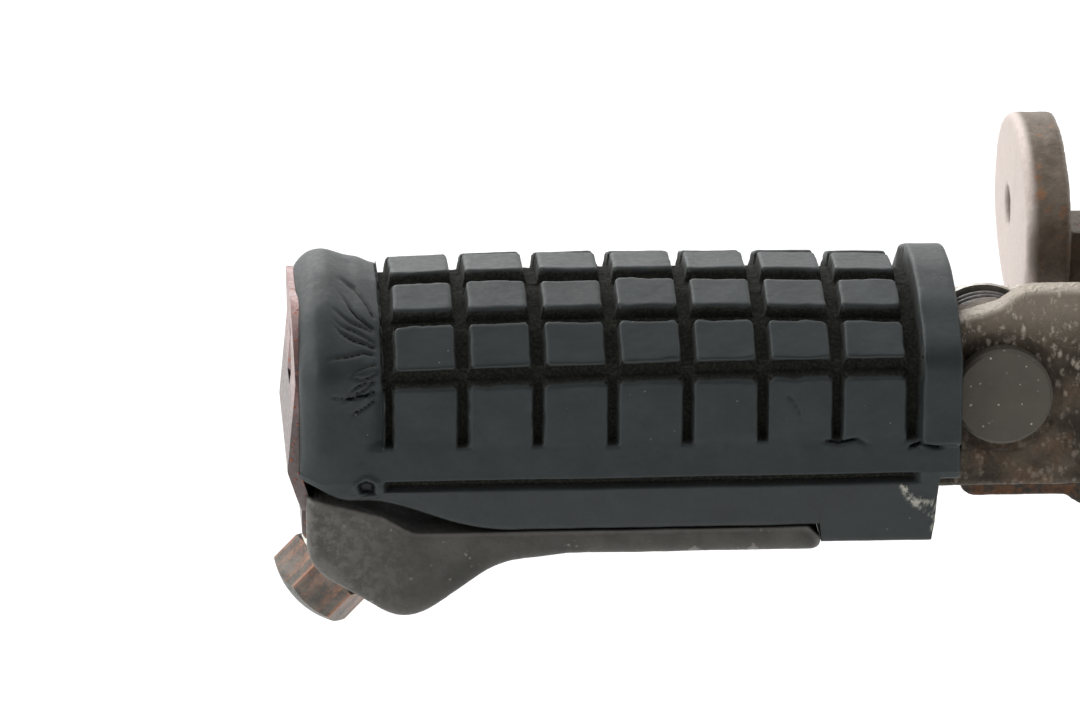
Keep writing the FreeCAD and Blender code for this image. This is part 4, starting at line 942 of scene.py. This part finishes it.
zinc = zinc_look()
for name, width in (("feeler_lock_washer", 0.25), ("end_plate_screw", 0.2), ("rail_screws", 0.25),
                    ("rail_screw_washers", 0.2), ("pin_washer", 0.2), ("near_thrust_washer", 0.15),
                    ("far_thrust_washer", 0.15), ("spring_sleeve", 0.12)):
    paint(name, zinc)
    soften_edges(name, width, 2)
paint("cotter_pin", zinc)
paint("return_spring", wire_look())
paint("tongue_bush", bronze_look())
soften_edges("tongue_bush", 0.12, 2)


# ---------------------------------------------------------------- studio

def white_look(name, level):
    """Matt paper of nearly even brightness."""
    look = Look(name, roughness=0.9, specular=0.2)
    paper = look.noise(40.0, 2.0, 0.5)
    return look.finish(look.mix(look.between(paper, 0.3, 0.7), (level, level, level),
                                (level * 0.99, level * 0.99, level * 0.985)))


def make_floor(height, reach):
    """Plain pale floor, reach metres to each side."""
    mesh = bpy.data.meshes.new("floor")
    corners = [(-reach, -reach, height), (reach, -reach, height), (reach, reach, height),
               (-reach, reach, height)]
    mesh.from_pydata(corners, [], [(0, 1, 2, 3)])
    mesh.materials.append(white_look("Pale_floor", 0.93))
    floor = bpy.data.objects.new("floor", mesh)
    bpy.context.scene.collection.objects.link(floor)


def make_softbox(name, place, target, size, power):
    """Rectangular lamp at place that faces target."""
    light = bpy.data.lights.new(name, "AREA")
    light.shape = "RECTANGLE"
    light.size, light.size_y = size
    light.energy = power
    lamp = bpy.data.objects.new(name, light)
    lamp.location = place
    lamp.rotation_euler = (Vector(target) - Vector(place)).to_track_quat("-Z", "Y").to_euler()
    bpy.context.scene.collection.objects.link(lamp)


def make_world(near, far):
    """Soft even sky, dimmer on the near side (-Y) than above and behind."""
    world = bpy.data.worlds.new("Studio")
    world.use_nodes = True
    nodes, links = world.node_tree.nodes, world.node_tree.links
    # brighter with the direction's Y, from the viewer's side (-1) to behind the part (0.5)
    direction = nodes.new("ShaderNodeSeparateXYZ")
    links.new(nodes.new("ShaderNodeTexCoord").outputs["Generated"], direction.inputs[0])
    fade = nodes.new("ShaderNodeMapRange")
    links.new(direction.outputs[1], fade.inputs["Value"])
    for name, value in (("From Min", -1.0), ("From Max", 0.5), ("To Min", near), ("To Max", far)):
        fade.inputs[name].default_value = value
    background = nodes["Background"]
    background.inputs["Color"].default_value = (1.0, 1.0, 1.0, 1.0)
    links.new(fade.outputs[0], background.inputs["Strength"])
    bpy.context.scene.world = world


def make_camera(target, azimuth, elevation, distance, lens, roll):
    """A long lens that looks at target from the given side and height."""
    side, up = math.radians(azimuth), math.radians(elevation)
    back = Vector((math.sin(side) * math.cos(up), -math.cos(side) * math.cos(up), math.sin(up)))
    data = bpy.data.cameras.new("Camera")
    data.lens = lens
    data.sensor_width = 36.0
    data.clip_start = 0.05
    data.clip_end = 20.0
    camera = bpy.data.objects.new("Camera", data)
    camera.location = Vector(target) + back * distance
    aim = (-back).to_track_quat("-Z", "Y")
    camera.rotation_euler = (aim @ Quaternion((0, 0, 1), math.radians(roll))).to_euler()
    bpy.context.scene.collection.objects.link(camera)
    bpy.context.scene.camera = camera


FLOOR_DROP = 0.15               # metres from the part's lowest point down to the floor

centre = (cad_low + cad_high) / 2
make_floor(cad_low.z - FLOOR_DROP, reach=6.0)
make_world(near=0.10, far=1.35)
make_softbox("Behind", centre + Vector((-0.55, 0.85, 0.75)), centre, (1.5, 1.0), 9.0)
make_softbox("Left", centre + Vector((-0.9, -0.35, 0.35)), centre, (0.7, 0.7), 2.5)
look_at = to_row([(PAD_END + PAD_START) / 2 - 13.9, -SIDE, 8.4])    # middle of the picture
make_camera(look_at, azimuth=-3.83, elevation=18.0, distance=1.124, lens=249.2, roll=0.19)
bpy.context.scene.view_settings.view_transform = "Standard"
